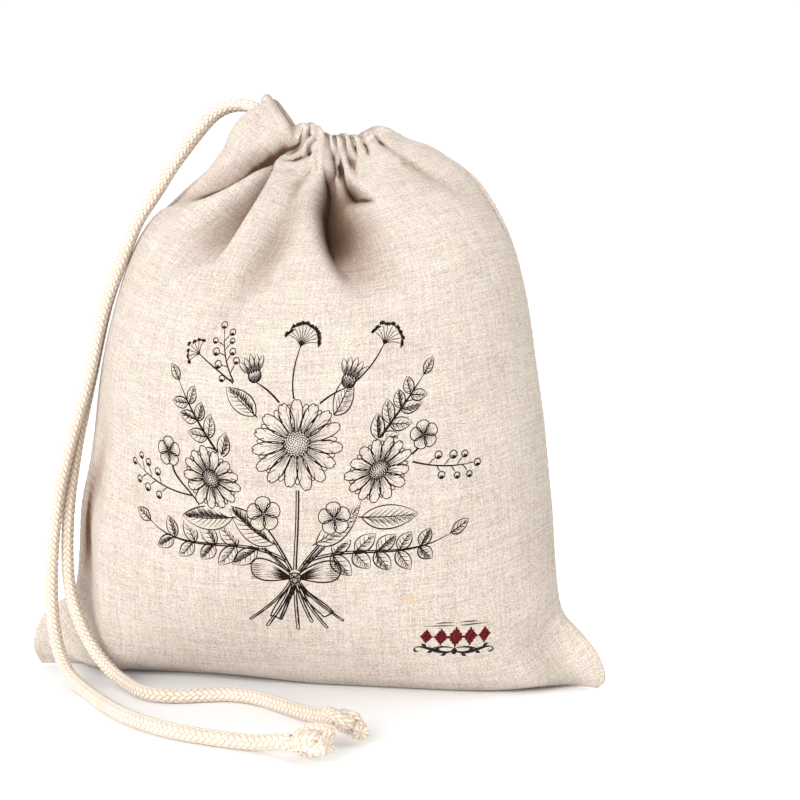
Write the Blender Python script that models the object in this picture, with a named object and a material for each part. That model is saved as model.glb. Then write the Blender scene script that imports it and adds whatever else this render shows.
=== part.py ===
import bpy
import numpy as np

# Drawstring bag of linen, filled and standing. Lengths in the tables are millimetres and
# are turned into metres when a mesh is made. X runs right, Y away from the front, Z up.

for old in list(bpy.data.objects):
    bpy.data.objects.remove(old, do_unlink=True)

clothThick = 1.2
clothHeight = 331.0
hemLength = 24.0
seamGap = 0.3
cordSize = 6.5
knotLength = 26.0

# columns of each panel's mesh, and the points that a section is worked out with before it is shared out
frontColumns = 38
backColumns = 32
sectionPoints = 1200
# points of each stretch of the cord
heldPoints = 46
endPoints = 44
knotSides = 12
knotRings = 19

# rows of a panel's mesh, as cloth run from the bottom seam, and the hem's rows down from the top
clothRows = [0, 12, 24, 31, 38, 47, 60, 78, 100, 126, 154, 180, 203, 222, 239, 254, 267, 279, 290,
             300, 310, 320, clothHeight]
hemRows = [0, hemLength / 3, hemLength * 2 / 3, hemLength]

# runs between which a feature of a section comes in
foldRuns = (45, 60)
casingRuns = (282, 297)
topEdgeRuns = (296, clothHeight)
liftRuns = (14, 30)
# runs between which a feature of a section dies out again
liftEndRuns = (40, 110)
earRuns = (30, 62)
# the bottom corners lie flat as ears: where they start, as shares of half the width, and how flat they get
earStart = {"left": 0.74, "right": 0.82}
earEnd = 0.96
earFlat = 0.72
# folds end a little short of the side seams, as a share of half the cloth's width
foldEdge = 0.985
# shape of a fold's bell, and how far below its foot and above it the fold dies out
foldPower = 1.6
foldFoot = (-18, 2)

# the middle of each panel: cloth run from the bottom seam, height, distance out from the mid plane
frontProfile = {
    "run": [0, 14, 28, 38, 50, 66, 90, 120, 160, 200, 226, 247, 264, 281, 298, 313, 325, 331],
    "z": [0.6, 0.6, 0.6, 4.5, 13.5, 27.5, 50.5, 80, 120, 159.5, 184.5, 203.5, 218, 232, 245, 257, 267, 272],
    "out": [0, 14, 28, 37, 45, 52.5, 59, 62, 62.5, 60, 55, 48.5, 41, 33, 25.5, 20.5, 18, 17.5],
}
backProfile = {
    "run": [0, 14, 28, 38, 50, 66, 90, 120, 160, 200, 226, 247, 264, 281, 298, 313, 325, 331],
    "z": [0.6, 0.6, 0.6, 4.5, 13.5, 27.5, 50.5, 80, 120, 159.5, 184.5, 203.5, 218, 232, 245, 257, 267, 272],
    "out": [0, 15, 30, 40, 48, 55, 61, 63, 62, 58, 52, 46, 39, 31.5, 25, 20.5, 18, 17.5],
}
# side seams: run, x, height, distance towards the back, and how far the two panels stand apart there
leftSeam = {
    "run": [0, 10, 21, 34, 48, 66, 90, 122, 170, 203, 228, 248, 268, 285, 300, 310, 322, 331],
    "x": [-145, -149, -147, -139, -127, -125, -124.5, -119.5, -112.5, -104.5, -97, -87.5, -72.5, -57.5,
          -47.5, -42.5, -33.5, -25],
    "z": [1.2, 10, 21, 31, 39.5, 56, 80, 112, 160, 192, 215, 232, 247, 259, 270, 278, 287, 292],
    "y": [-14, -14, -13, -11.5, -10, -9, -8, -5, -2, 0, 0, 0, 0, 0, 0, 0, 0, 0],
    "apart": [0.3, 0.3, 0.25, 0.15, 0, 0, 0, 0, 0, 0, 0, 0, 0, 0, 1, 5.6, 9.3, 9.3],
}
rightSeam = {
    "run": [0, 10, 21, 36, 50, 70, 100, 140, 180, 210, 236, 260, 280, 296, 306, 316, 324, 331],
    "x": [145, 148.5, 145.5, 136.5, 126.5, 123.5, 121.5, 118, 113, 109, 103, 94, 84, 75, 69, 64, 58, 51],
    "z": [1.2, 6, 15.5, 26.5, 37, 55, 84, 122, 160, 189, 214, 235, 249.5, 257.5, 261.5, 265, 268, 270],
    "y": [-14, -14, -13, -10, -6, -3, 0, 0, 0, 0, 0, 0, 0, 0, 0, 0, 0, 0],
    "apart": [0.3, 0.3, 0.25, 0.15, 0, 0, 0, 0, 0, 0, 0, 0, 0, 0, 0, 0, 0, 0],
}
# shape of a section: round turns it from a flat lens (0) to an oval (1), square fills its shoulders,
# rise sets how late the cloth climbs from the middle to the seam
sectionShape = {
    "run": [0, 20, 40, 60, 90, 140, 220, 280, 331],
    "round": [0, 0, 0.25, 0.6, 0.85, 0.95, 0.95, 0.9, 0.8],
    "square": [9, 8, 5, 3.4, 2.6, 2.3, 2.2, 2.2, 2.6],
    "rise": [9, 9, 8, 6, 3.5, 2.6, 2.2, 2.0, 2.0],
}
# top of the casing above its straight line, by x
topEdge = {
    "x": [-25, -16, -7, 1, 11, 19, 27, 35, 43, 51],
    "up": [1.5, -2.5, -5.5, 2.5, -1.7, -3.5, -4, -1.5, 1.5, 0],
}
# how far the front's lower edge lifts off the ground, by x
footLift = {
    "x": [-130, -105, -66, -25, 15, 60],
    "up": [0, 1.5, 5, 2.5, 0, 0],
}
# folds of the front, from the neck down: a route of four (x, z), its depth at each (out is plus),
# its width to the left and to the right at both ends, and how far up it fades where its top is soft
frontFolds = [
    {"name": "peak valley", "x": [-5, -13, -32, -55], "z": [284, 262, 244, 228],
     "depth": [-5, -7, -8, -1], "left": [3, 16], "right": [1.6, 3]},
    {"name": "first ridge", "x": [-3, -13, -30, -55], "z": [276, 258, 240, 222],
     "depth": [1, 3, 3, 0.5], "left": [2, 5], "right": [1.5, 4]},
    {"name": "left valley", "x": [0, -12, -24, -46], "z": [282, 254, 230, 204],
     "depth": [-5, -8, -11, -1], "left": [1.6, 9], "right": [1.6, 8]},
    {"name": "pocket", "x": [6, 5, 2, -5], "z": [284, 268, 258, 252],
     "depth": [-5.5, -6, -4, -1], "left": [1.4, 3], "right": [1.4, 3]},
    {"name": "lobe shade", "x": [4, -5, -17, -33], "z": [262, 242, 208, 172],
     "depth": [-1, -3, -3.5, -0.5], "left": [4, 12], "right": [6, 20]},
    {"name": "deep valley", "x": [13.5, 14.5, 15, 37], "z": [284, 262, 226, 180],
     "depth": [-5, -6.5, -17, -2], "left": [1.5, 6], "right": [2.4, 26]},
    {"name": "hooked valley", "x": [21, 22.5, 28, 46], "z": [284, 264, 248, 236],
     "depth": [-5.5, -6.5, -6, -1], "left": [1.4, 4], "right": [1.6, 5]},
    {"name": "small pleat", "x": [26.5, 27, 29, 31], "z": [284, 266, 256, 248],
     "depth": [-4.5, -4, -1.5, 0], "left": [1.4, 3], "right": [1.6, 4]},
    {"name": "right crease", "x": [34, 36, 40, 46], "z": [284, 272, 266, 260],
     "depth": [-2.5, -2.5, -1.5, 0], "left": [1.2, 2], "right": [1.6, 4]},
    {"name": "shoulder crease", "x": [48, 60, 72, 90], "z": [262, 254, 246, 232],
     "depth": [-1.5, -2, -2, 0], "left": [2, 3], "right": [3, 8]},
    {"name": "side dent", "x": [-114, -118, -118.5, -114], "z": [114, 82, 52, 28],
     "depth": [-0.5, -6.5, -7.5, -1.5], "left": [3.5, 3.5], "right": [8, 10], "softTop": 45},
]
backFolds = [
    {"name": "left valley", "x": [-8, -14, -28, -52], "z": [284, 256, 236, 210],
     "depth": [-5, -6, -7, -1], "left": [1.8, 12], "right": [1.8, 9]},
    {"name": "second pleat", "x": [0, -2, -8, -20], "z": [284, 256, 232, 200],
     "depth": [-5, -6, -6, -1], "left": [1.6, 9], "right": [1.6, 8]},
    {"name": "middle valley", "x": [8, 9, 12, 16], "z": [284, 256, 226, 176],
     "depth": [-5, -7, -13, -1], "left": [1.8, 16], "right": [1.8, 10]},
    {"name": "fourth pleat", "x": [16, 18, 24, 36], "z": [284, 262, 242, 222],
     "depth": [-5, -5, -4, 0], "left": [1.6, 6], "right": [1.6, 7]},
    {"name": "right valley", "x": [25, 30, 42, 62], "z": [284, 262, 242, 214],
     "depth": [-5, -7, -6, -1], "left": [1.8, 9], "right": [1.8, 13]},
    {"name": "end pleat", "x": [35, 42, 56, 74], "z": [284, 266, 252, 238],
     "depth": [-3.5, -4, -3, 0], "left": [1.6, 5], "right": [1.8, 8]},
]
# how far out the casing stays because of the cord in it, by x
cordRoom = {
    "x": [-31, -18, -9, 2],
    "out": [9.6, 10.9, 12.0, 12.4],
}
# the hem inside: how far it stands from the mid plane, by x, and where its right end stops
hemOut = {
    "x": [-30, -18, -8, 4],
    "out": [1.0, 1.6, 2.9, 3.6],
}
hemRightX = 36.5
# the cord through the casing: in at the left, round the right end, back along the other panel
casingRoute = {
    "x": [-37, -31.5, -25.5, -18, -9, 2, 14, 27, 37.5, 43.6, 46,
          43.6, 37.5, 27, 14, 2, -9, -18, -26, -32.6, -38.5],
    "y": [-5.4, -5.3, -5.4, -6.4, -7.6, -7.9, -7.9, -7.9, -7.9, -5.5, 0,
          5.5, 7.9, 7.9, 7.9, 7.9, 7.6, 6.4, 5.4, 5.2, 4.6],
    "z": [292, 290.3, 286.5, 277.8, 269.2, 265, 263.6, 263.4, 264, 264.6, 264.8,
          264.6, 264, 263.4, 263.6, 265, 269.2, 277.8, 287, 291.8, 293.4],
}
# the two free ends: over the left shoulder, down the side and along the ground to a knot
frontEndRoute = {
    "x": [-42.9, -49.2, -58, -65, -72.4, -80.8, -88.4, -94, -99.3, -105.4, -113.3, -121.4,
          -127.5, -130.1, -130, -127.5, -123.5, -117.5, -107, -92, -74.5, -53, -33, -16.5,
          1, 15, 24, 31, 35.5],
    "y": [-6.2, -7.7, -10.3, -13, -15.5, -17, -18.2, -19.2, -19.8, -20.5, -21, -22, -24.5, -27, -31,
          -37, -43, -50, -61, -76, -97, -120, -136, -145, -151, -154.5, -157, -159.7, -161.6],
    "z": [291.9, 289.1, 280.4, 270.2, 257.8, 244.5, 232.7, 219.9, 206.5, 190.1, 157.6, 128.1, 101, 80.4,
          60, 42, 28, 17, 7.6, 3.6, 3.4, 3.4, 3.4, 3.4, 3.4, 3.5, 4.4, 5.9, 6.2],
}
backEndRoute = {
    "x": [-44.4, -50.5, -59.8, -67.4, -75.4, -83.8, -91.7, -97.4, -102.8, -108.5, -115.6, -121.4, -125,
          -126.6, -125, -121, -114, -104, -91, -75, -61, -49.5, -38.5, -29, -19, -8, 4, 19, 31, 39.5, 44.5],
    "y": [3.3, 1.3, -1.6, -3.8, -6, -7.6, -9, -10, -10.5, -11.5, -13, -15, -17, -20, -24.5, -30, -36, -42,
          -49, -63, -77.5, -83, -81.5, -77, -74.5, -77, -85, -97.7, -108.6, -117, -122.2],
    "z": [293.2, 290.8, 281.6, 271.3, 259.8, 246.3, 234.4, 221.4, 207.9, 191.2, 158.8, 129.1, 105, 80.9,
          60, 44, 31, 18, 7.4, 3.6, 3.4, 3.4, 3.4, 3.4, 3.4, 3.4, 3.4, 3.5, 4.4, 5.9, 6.2],
}
# a knot and the short end past it: share of its length, height of its middle, radius
knotShape = {
    "share": [0, 0.08, 0.2, 0.34, 0.48, 0.58, 0.68, 0.85, 1],
    "height": [6.4, 6.7, 7.2, 7.3, 6.8, 5.6, 4.4, 4.2, 4.4],
    "radius": [3.4, 5.6, 7, 7.1, 6, 4, 3.3, 3.5, 4],
}
# how deep the knot's three lumps are, as a share of its radius, and how far they twist round it
knotLump = 0.07
knotTwist = 9.0
# how far each knot's short end leans to its left
knotLean = {"front": 2.0, "back": -3.0}


def through(table, column, at, key="run"):
    """Smooth curve through a table's rows that never overshoots them."""
    known = np.asarray(table[key], float)
    value = np.asarray(table[column], float)
    step = np.diff(known)
    slope = np.diff(value) / step
    before, after = slope[:-1], slope[1:]
    same = before * after > 0
    first, second = 2 * step[1:] + step[:-1], step[1:] + 2 * step[:-1]
    under = np.where(same, first * after + second * before, 1.0)
    middle = np.where(same, (first + second) * before * after / under, 0.0)
    lean = np.concatenate([slope[:1], middle, slope[-1:]])
    at = np.clip(at, known[0], known[-1])
    index = np.clip(np.searchsorted(known, at, side="right") - 1, 0, len(known) - 2)
    t = (at - known[index]) / step[index]
    return (value[index] * (1 + 2 * t) * (1 - t) ** 2 + value[index + 1] * t * t * (3 - 2 * t)
            + step[index] * t * (1 - t) * (lean[index] * (1 - t) - lean[index + 1] * t))


def smooth(low, high, at):
    """0 below low, 1 above high, an even ramp between."""
    t = np.clip((at - low) / (high - low), 0.0, 1.0)
    return t * t * (3 - 2 * t)


def foldHeight(folds, x, z):
    """Sum of the folds: along each route a bell that has its own width on either side."""
    total = np.zeros_like(x)
    for fold in folds:
        down = {"z": fold["z"][::-1], "x": fold["x"][::-1], "depth": fold["depth"][::-1]}
        top, foot = fold["z"][0], fold["z"][-1]
        middle = through(down, "x", z, "z")
        lean = (through(down, "x", z + 1, "z") - through(down, "x", z - 1, "z")) / 2
        away = (x - middle) / np.sqrt(1 + lean * lean)
        gone = np.clip((top - z) / (top - foot), 0.0, 1.0)
        left = fold["left"][0] + (fold["left"][1] - fold["left"][0]) * gone
        right = fold["right"][0] + (fold["right"][1] - fold["right"][0]) * gone
        reach = np.where(away < 0, left, right)
        fade = smooth(foot + foldFoot[0], foot + foldFoot[1], z)
        if "softTop" in fold:
            fade = fade * (1 - smooth(top - 4, top + fold["softTop"], z))
        total += through(down, "depth", z, "z") * fade * np.exp(-np.abs(away / reach) ** foldPower)
    return total


def outwardOf(grid, side):
    """Unit normals of a grid of points, away from the inside of the bag."""
    cross = np.cross(np.gradient(grid, axis=1), np.gradient(grid, axis=0))
    return -side * cross / (np.linalg.norm(cross, axis=2, keepdims=True) + 1e-12)


def sectionGrid(side, profile, folds, runs, across):
    """The outer cloth as sections: each goes from seam to seam through the middle's depth."""
    run, w = np.meshgrid(runs, across, indexing="ij")
    turn = through(sectionShape, "round", run)
    spread = (1 - turn) * w + turn * np.sin(np.pi * w / 2)
    share = (spread + 1) / 2
    leftX, rightX = through(leftSeam, "x", run), through(rightSeam, "x", run)
    x = leftX + (rightX - leftX) * share
    leftward = spread < 0
    seamZ = np.where(leftward, through(leftSeam, "z", run), through(rightSeam, "z", run))
    seamY = np.where(leftward, through(leftSeam, "y", run), through(rightSeam, "y", run))
    apart = np.where(leftward, through(leftSeam, "apart", run), through(rightSeam, "apart", run))
    far = np.abs(spread)
    z = through(profile, "z", run)
    z = z + (seamZ - z) * far ** through(sectionShape, "rise", run)
    z = z + through(topEdge, "up", x, "x") * smooth(*topEdgeRuns, run)
    if side < 0:
        z = z + through(footLift, "up", x, "x") * smooth(*liftRuns, run) * (1 - smooth(*liftEndRuns, run))
    full = np.sqrt(np.clip(1 - far ** through(sectionShape, "square", run), 0, 1))
    ear = smooth(np.where(leftward, earStart["left"], earStart["right"]), earEnd, far)
    full = full * (1 - earFlat * ear * (1 - smooth(*earRuns, run)))
    edge = clothThick / 2 + seamGap / 2 + apart * far**4
    out = edge + np.maximum(through(profile, "out", run) - edge, 0) * full
    y = side * out + seamY * far ** 7
    grid = np.stack([x, y, z], axis=2)
    height = foldHeight(folds, x, z) * smooth(*foldRuns, run) * (1 - smooth(foldEdge, 1.0, np.abs(w)))
    spare = np.maximum(out - through(cordRoom, "out", x, "x") * smooth(*casingRuns, run), 0)
    height = np.where(height < 0, -spare * np.tanh(-height / np.maximum(spare, 0.01)), height)
    return grid + outwardOf(grid, side) * height[..., None]


def evenly(grid, columns):
    """Each section shared out evenly along its own length, as woven threads would be."""
    length = np.linalg.norm(np.diff(grid, axis=1), axis=2)
    gone = np.concatenate([np.zeros((len(grid), 1)), np.cumsum(length, axis=1)], axis=1)
    rows = []
    for row, line in zip(grid, gone):
        at = np.linspace(0, line[-1], columns + 1)
        rows.append(np.stack([np.interp(at, line, row[:, i]) for i in range(3)], axis=1))
    return np.array(rows)


def hemGrid(side, topRow, profile, rows, columns):
    """The cloth turned over the top and down inside, the same way up as the casing outside."""
    w = np.linspace(-1, 1, sectionPoints)
    run = np.repeat(clothHeight - np.asarray(rows, float)[:, None], sectionPoints, axis=1)
    plain = sectionGrid(side, profile, [], run[:, 0], w)
    leftX = through(leftSeam, "x", run)
    x = leftX + (plain[..., 0] - leftX) * (hemRightX - leftX) / (through(rightSeam, "x", run) - leftX)
    out = through(hemOut, "out", x, "x")
    inside = evenly(np.stack([x, side * out, plain[..., 2]], axis=2), columns)
    first = inside[0]
    turns = []
    for angle in (45, 90, 135):
        share = (1 - np.cos(np.radians(angle))) / 2
        ring = topRow * (1 - share) + first * share
        half = np.clip(np.abs(topRow[:, 1] - first[:, 1]) / 2, 1.2, 4.6)
        ring[:, 2] += half * np.sin(np.radians(angle))
        turns.append(ring)
    return np.concatenate([np.array(turns), inside])


def closedSheet(grid, side):
    """A sheet of cloth: the grid moved half its thickness each way, closed round its rim."""
    normal = outwardOf(grid, side)
    seam = np.zeros(grid.shape[:2])
    seam[:, 0] = seam[:, -1] = seam[0] = 1
    casing = np.arange(len(grid)) > len(clothRows) - 4
    seam[casing, 0] = 0
    seam[len(clothRows):] = 0
    grid = grid.copy()
    grid[..., 1] -= side * seam * clothThick / 2 * (1 - np.abs(normal[..., 1]))
    return grid + normal * clothThick / 2, grid - normal * clothThick / 2


def addMesh(name, points, faces, material):
    mesh = bpy.data.meshes.new(name)
    mesh.from_pydata((points / 1000).tolist(), [], [list(face) for face in faces])
    mesh.polygons.foreach_set("use_smooth", [True] * len(mesh.polygons))
    mesh.materials.append(material)
    bpy.context.scene.collection.objects.link(bpy.data.objects.new(name, mesh))


def addSheet(name, outer, inner, side, material):
    rows, columns = outer.shape[:2]
    index = np.arange(rows * columns).reshape(rows, columns)
    back = index + rows * columns
    front = np.stack([index[:-1, :-1], index[:-1, 1:], index[1:, 1:], index[1:, :-1]], axis=-1)
    behind = np.stack([back[:-1, :-1], back[1:, :-1], back[1:, 1:], back[:-1, 1:]], axis=-1)
    loop = np.concatenate([index[0, :], index[1:, -1], index[-1, -2::-1], index[-2:0:-1, 0]])
    ahead = np.roll(loop, -1)
    rim = np.stack([loop, loop + rows * columns, ahead + rows * columns, ahead], axis=-1)
    quads = np.concatenate([front.reshape(-1, 4), behind.reshape(-1, 4), rim])
    if side > 0:
        quads = quads[:, ::-1]
    points = np.concatenate([outer.reshape(-1, 3), inner.reshape(-1, 3)])
    addMesh(name, points, quads, material)


def makeMaterial(name, colour, roughness):
    material = bpy.data.materials.new(name)
    material.use_nodes = True
    shader = material.node_tree.nodes["Principled BSDF"]
    shader.inputs["Base Color"].default_value = (*colour, 1)
    shader.inputs["Roughness"].default_value = roughness
    shader.inputs["Metallic"].default_value = 0
    return material


def routePoints(route):
    """A route's columns as one list of points."""
    return np.stack([np.asarray(route[axis], float) for axis in "xyz"], axis=1)


def splineThrough(points):
    """The cubic spline through a route's own points, as close points with their distance along it."""
    known = np.concatenate([[0], np.cumsum(np.linalg.norm(np.diff(points, axis=0), axis=1))])
    step = np.diff(known)
    size = len(known)
    matrix, target = np.eye(size), np.zeros((size, 3))
    for i in range(1, size - 1):
        matrix[i, i - 1:i + 2] = step[i - 1], 2 * (step[i - 1] + step[i]), step[i]
        target[i] = 6 * ((points[i + 1] - points[i]) / step[i] - (points[i] - points[i - 1]) / step[i - 1])
    bend = np.linalg.solve(matrix, target)
    where = np.unique(np.concatenate([known, np.linspace(0, known[-1], 6000)]))
    i = np.clip(np.searchsorted(known, where, side="right") - 1, 0, size - 2)
    a = ((known[i + 1] - where) / step[i])[:, None]
    b, width = 1 - a, step[i][:, None] ** 2 / 6
    line = a * points[i] + b * points[i + 1]
    line = line + ((a**3 - a) * bend[i] + (b**3 - b) * bend[i + 1]) * width
    gone = np.concatenate([[0], np.cumsum(np.linalg.norm(np.diff(line, axis=0), axis=1))])
    return line, gone, gone[np.searchsorted(where, known)]


def addCord(name, line, gone, first, last, count, material):
    """A stretch of the cord, with a short first and last step so that its ends are square."""
    where = np.concatenate([[first], np.linspace(first + 1, last - 1, count - 2), [last]])
    points = np.stack([np.interp(where, gone, line[:, i]) for i in range(3)], axis=1)
    curve = bpy.data.curves.new(name, "CURVE")
    curve.dimensions = "3D"
    curve.bevel_depth = cordSize / 2000
    curve.bevel_resolution = 2
    curve.use_fill_caps = True
    spline = curve.splines.new("POLY")
    spline.points.add(count - 1)
    spline.points.foreach_set("co", np.c_[points / 1000, np.ones(count)].ravel())
    spline.use_smooth = True
    curve.materials.append(material)
    bpy.context.scene.collection.objects.link(bpy.data.objects.new(name, curve))
    return points


def addKnot(name, cordPoints, lean, material):
    """A lumpy knot turned round the line the cord arrives on, with its short cut end."""
    start, heading = cordPoints[-1], cordPoints[-1] - cordPoints[-4]
    heading = np.array([heading[0], heading[1], 0]) / np.linalg.norm(heading[:2])
    across = np.array([-heading[1], heading[0], 0])
    share = np.linspace(0, 1, knotRings)
    middle = start[:2] + heading[:2] * (seamGap + share[:, None] * knotLength)
    middle = middle + across[:2] * (lean * share**2)[:, None]
    height = through(knotShape, "height", share, "share")
    radius = through(knotShape, "radius", share, "share")
    turn = np.arange(knotSides) * 2 * np.pi / knotSides
    bulge = (radius - radius.min()) / (radius.max() - radius.min())
    lumps = np.cos(3 * turn[None, :] + knotTwist * share[:, None])
    size = radius[:, None] * (1 + knotLump * bulge[:, None] * lumps)
    rings = np.empty((len(share), knotSides, 3))
    rings[..., 0] = middle[:, None, 0] + size * np.cos(turn) * across[0]
    rings[..., 1] = middle[:, None, 1] + size * np.cos(turn) * across[1]
    rings[..., 2] = np.maximum(height[:, None] + size * np.sin(turn), 0.02)
    index = np.arange(rings.shape[0] * knotSides).reshape(-1, knotSides)
    ahead = np.roll(index, -1, axis=1)
    sides = np.stack([index[:-1], ahead[:-1], ahead[1:], index[1:]], axis=-1).reshape(-1, 4)
    addMesh(name, rings.reshape(-1, 3), list(sides) + [index[0][::-1], index[-1]], material)


linen = makeMaterial("linen", (0.70, 0.62, 0.53), 0.92)
cotton = makeMaterial("cotton_cord", (0.84, 0.77, 0.66), 0.88)

for name, side, profile, folds, columns in (
    ("front_panel", -1, frontProfile, frontFolds, frontColumns),
    ("back_panel", 1, backProfile, backFolds, backColumns),
):
    across = np.linspace(-1, 1, sectionPoints)
    outside = evenly(sectionGrid(side, profile, folds, np.asarray(clothRows, float), across), columns)
    inside = hemGrid(side, outside[-1], profile, hemRows, columns)
    outer, inner = closedSheet(np.concatenate([outside, inside]), side)
    addSheet(name, outer, inner, side, linen)

frontFree, backFree = routePoints(frontEndRoute)[::-1], routePoints(backEndRoute)
held = routePoints(casingRoute)
line, gone, marks = splineThrough(np.concatenate([frontFree, held, backFree]))
enter, leave = marks[len(frontFree)], marks[len(frontFree) + len(held) - 1]
half = seamGap / 2
addCord("cord_in_casing", line, gone, enter + half, leave - half, heldPoints, cotton)
frontEnd = addCord("cord_end_front", line, gone, 0, enter - half, endPoints, cotton)[::-1]
backEnd = addCord("cord_end_back", line, gone, leave + half, gone[-1], endPoints, cotton)
addKnot("knot_front", frontEnd, knotLean["front"], cotton)
addKnot("knot_back", backEnd, knotLean["back"], cotton)
print("free ends", round(enter - half, 1), round(gone[-1] - leave - half, 1), "held", round(leave - enter, 1))
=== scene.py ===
import bpy
import numpy as np
from math import cos, pi, radians, sin
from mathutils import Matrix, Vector


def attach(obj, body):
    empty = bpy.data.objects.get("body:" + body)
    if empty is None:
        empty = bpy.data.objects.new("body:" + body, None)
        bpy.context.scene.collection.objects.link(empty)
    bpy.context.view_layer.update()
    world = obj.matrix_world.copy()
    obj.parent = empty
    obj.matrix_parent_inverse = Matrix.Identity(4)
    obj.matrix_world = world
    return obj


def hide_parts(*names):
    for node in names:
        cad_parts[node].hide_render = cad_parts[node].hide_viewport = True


# Linen bread bag with a braided cotton drawcord. Tables and sizes are millimetres, meshes are made in metres.
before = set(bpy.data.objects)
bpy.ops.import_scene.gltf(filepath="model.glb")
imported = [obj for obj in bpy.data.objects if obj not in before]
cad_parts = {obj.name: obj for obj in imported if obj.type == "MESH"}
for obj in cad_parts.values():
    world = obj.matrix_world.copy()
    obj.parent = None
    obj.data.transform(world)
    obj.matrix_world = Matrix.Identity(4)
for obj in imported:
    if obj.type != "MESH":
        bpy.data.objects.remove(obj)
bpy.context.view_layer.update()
toMetres = 0.001
noiseLattice, noiseMiddle = 97, 40.5


# shared tools
def through(table, column, at, key="run"):
    # monotone cubic through a table's rows: slopes are weighted harmonic means, so it never overshoots
    known, value = np.asarray(table[key], float), np.asarray(table[column], float)
    step = np.diff(known)
    slope = np.diff(value) / step
    before, after = slope[:-1], slope[1:]
    same = before * after > 0
    first, second = 2 * step[1:] + step[:-1], step[1:] + 2 * step[:-1]
    under = np.where(same, first * after + second * before, 1.0)
    middle = np.where(same, (first + second) * before * after / under, 0.0)
    lean = np.concatenate([slope[:1], middle, slope[-1:]])
    at = np.clip(at, known[0], known[-1])
    i = np.clip(np.searchsorted(known, at, side="right") - 1, 0, len(known) - 2)
    t = (at - known[i]) / step[i]
    return (value[i] * (1 + 2 * t) * (1 - t) ** 2 + value[i + 1] * t * t * (3 - 2 * t)
            + step[i] * t * (1 - t) * (lean[i] * (1 - t) - lean[i + 1] * t))


def smooth(low, high, at):
    # 0 below low and 1 above high, with the ramp 3t^2 - 2t^3 between
    t = np.clip((at - low) / (high - low), 0.0, 1.0)
    return t * t * (3 - 2 * t)


def comeAndGo(comes, goes, at):
    # 1 between the two ramps and 0 outside them
    return smooth(*comes, at) * (1 - smooth(*goes, at))


def softNoise(u, v, size, seed):
    # random heights from -1 to 1 at the corners of a lattice, blended by the smooth ramp between them
    corners = np.random.default_rng(seed).uniform(-1, 1, (noiseLattice, noiseLattice))
    a, b = (np.asarray(place) / size + noiseMiddle for place in (u, v))
    i, j = np.floor(a).astype(int), np.floor(b).astype(int)
    s, t = smooth(0, 1, a - i), smooth(0, 1, b - j)
    i, j, i2, j2 = (k % noiseLattice for k in (i, j, i + 1, j + 1))
    low = corners[i, j] * (1 - s) + corners[i2, j] * s
    high = corners[i, j2] * (1 - s) + corners[i2, j2] * s
    return low * (1 - t) + high * t


def unit(vectors):
    # each vector divided by its own length
    return vectors / (np.linalg.norm(vectors, axis=-1, keepdims=True) + 1e-12)


def goneAlong(line):
    # distance along a line to each of its points
    return np.concatenate([[0], np.cumsum(np.linalg.norm(np.diff(line, axis=0), axis=1))])


def pick(where, gone, line):
    # a line's points at other distances along it
    return np.stack([np.interp(where, gone, column) for column in line.T], axis=1)


def circleAround(ahead, aside, turn):
    # directions square to the way ahead: side cos(turn) + up sin(turn)
    side = unit(np.cross(ahead, np.asarray(aside, float)))
    up = np.cross(side, ahead)
    return side[..., None, :] * np.cos(turn)[:, None] + up[..., None, :] * np.sin(turn)[:, None]


def gridFaces(rows, columns, around=False):
    # quads between neighbouring points of a grid, whose columns may close on themselves
    index = np.arange(rows * columns).reshape(rows, columns)
    ahead = np.roll(index, -1, axis=1)
    if not around:
        index, ahead = index[:, :-1], ahead[:, :-1]
    return np.stack([index[:-1], ahead[:-1], ahead[1:], index[1:]], axis=-1).reshape(-1, 4)


def rodFaces(steps, count, first=0):
    # quads of four sided rods closed at both ends, whose rings of points follow each other rod by rod
    rod = np.concatenate([gridFaces(steps, 4, True), [[0, 1, 2, 3]], [[4 * steps - k for k in (1, 2, 3, 4)]]])
    return (rod + np.arange(count)[:, None, None] * 4 * steps + first).reshape(-1, 4)


def addObject(name, data):
    # an object in the scene
    thing = bpy.data.objects.new(name, data)
    bpy.context.scene.collection.objects.link(thing)
    return thing


def addPiece(name, points, faces, material, uv, marks=None, nodes=()):
    # a mesh from arrays of points and quads, with uv and named numbers for each point. It rides on the bag's
    # one body, takes the finish it is given, and hides the solids it stands for, if any
    mesh = bpy.data.meshes.new(name)
    faces = np.asarray(faces, np.int32)
    mesh.vertices.add(len(points))
    mesh.vertices.foreach_set("co", (np.asarray(points, np.float32) * toMetres).ravel())
    mesh.loops.add(faces.size)
    mesh.loops.foreach_set("vertex_index", faces.ravel())
    mesh.polygons.add(len(faces))
    mesh.polygons.foreach_set("loop_start", np.arange(0, faces.size, 4, dtype=np.int32))
    mesh.polygons.foreach_set("use_smooth", np.ones(len(faces), bool))
    layer = mesh.uv_layers.new(name="UVMap")
    layer.data.foreach_set("uv", np.asarray(uv, np.float32)[faces.ravel()].ravel())
    for title, values in (marks or {}).items():
        mesh.attributes.new(title, "FLOAT", "POINT").data.foreach_set("value", np.asarray(values, np.float32))
    mesh.update(calc_edges=True)
    mesh.validate()
    mesh.materials.append(material)
    piece = addObject(name, mesh)
    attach(piece, "root")
    if nodes:
        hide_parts(*nodes)
    print(name, len(mesh.vertices), "points", len(mesh.loops) - 2 * len(mesh.polygons), "triangles")
    return piece


def newMaterial(name, roughness, specular=0.25):
    # a plain finish without colour, its shader and its node tree
    material = bpy.data.materials.new(name)
    material.use_nodes = True
    shader = material.node_tree.nodes["Principled BSDF"]
    shader.inputs["Roughness"].default_value = roughness
    shader.inputs["Specular IOR Level"].default_value = specular
    return material, shader, material.node_tree


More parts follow.
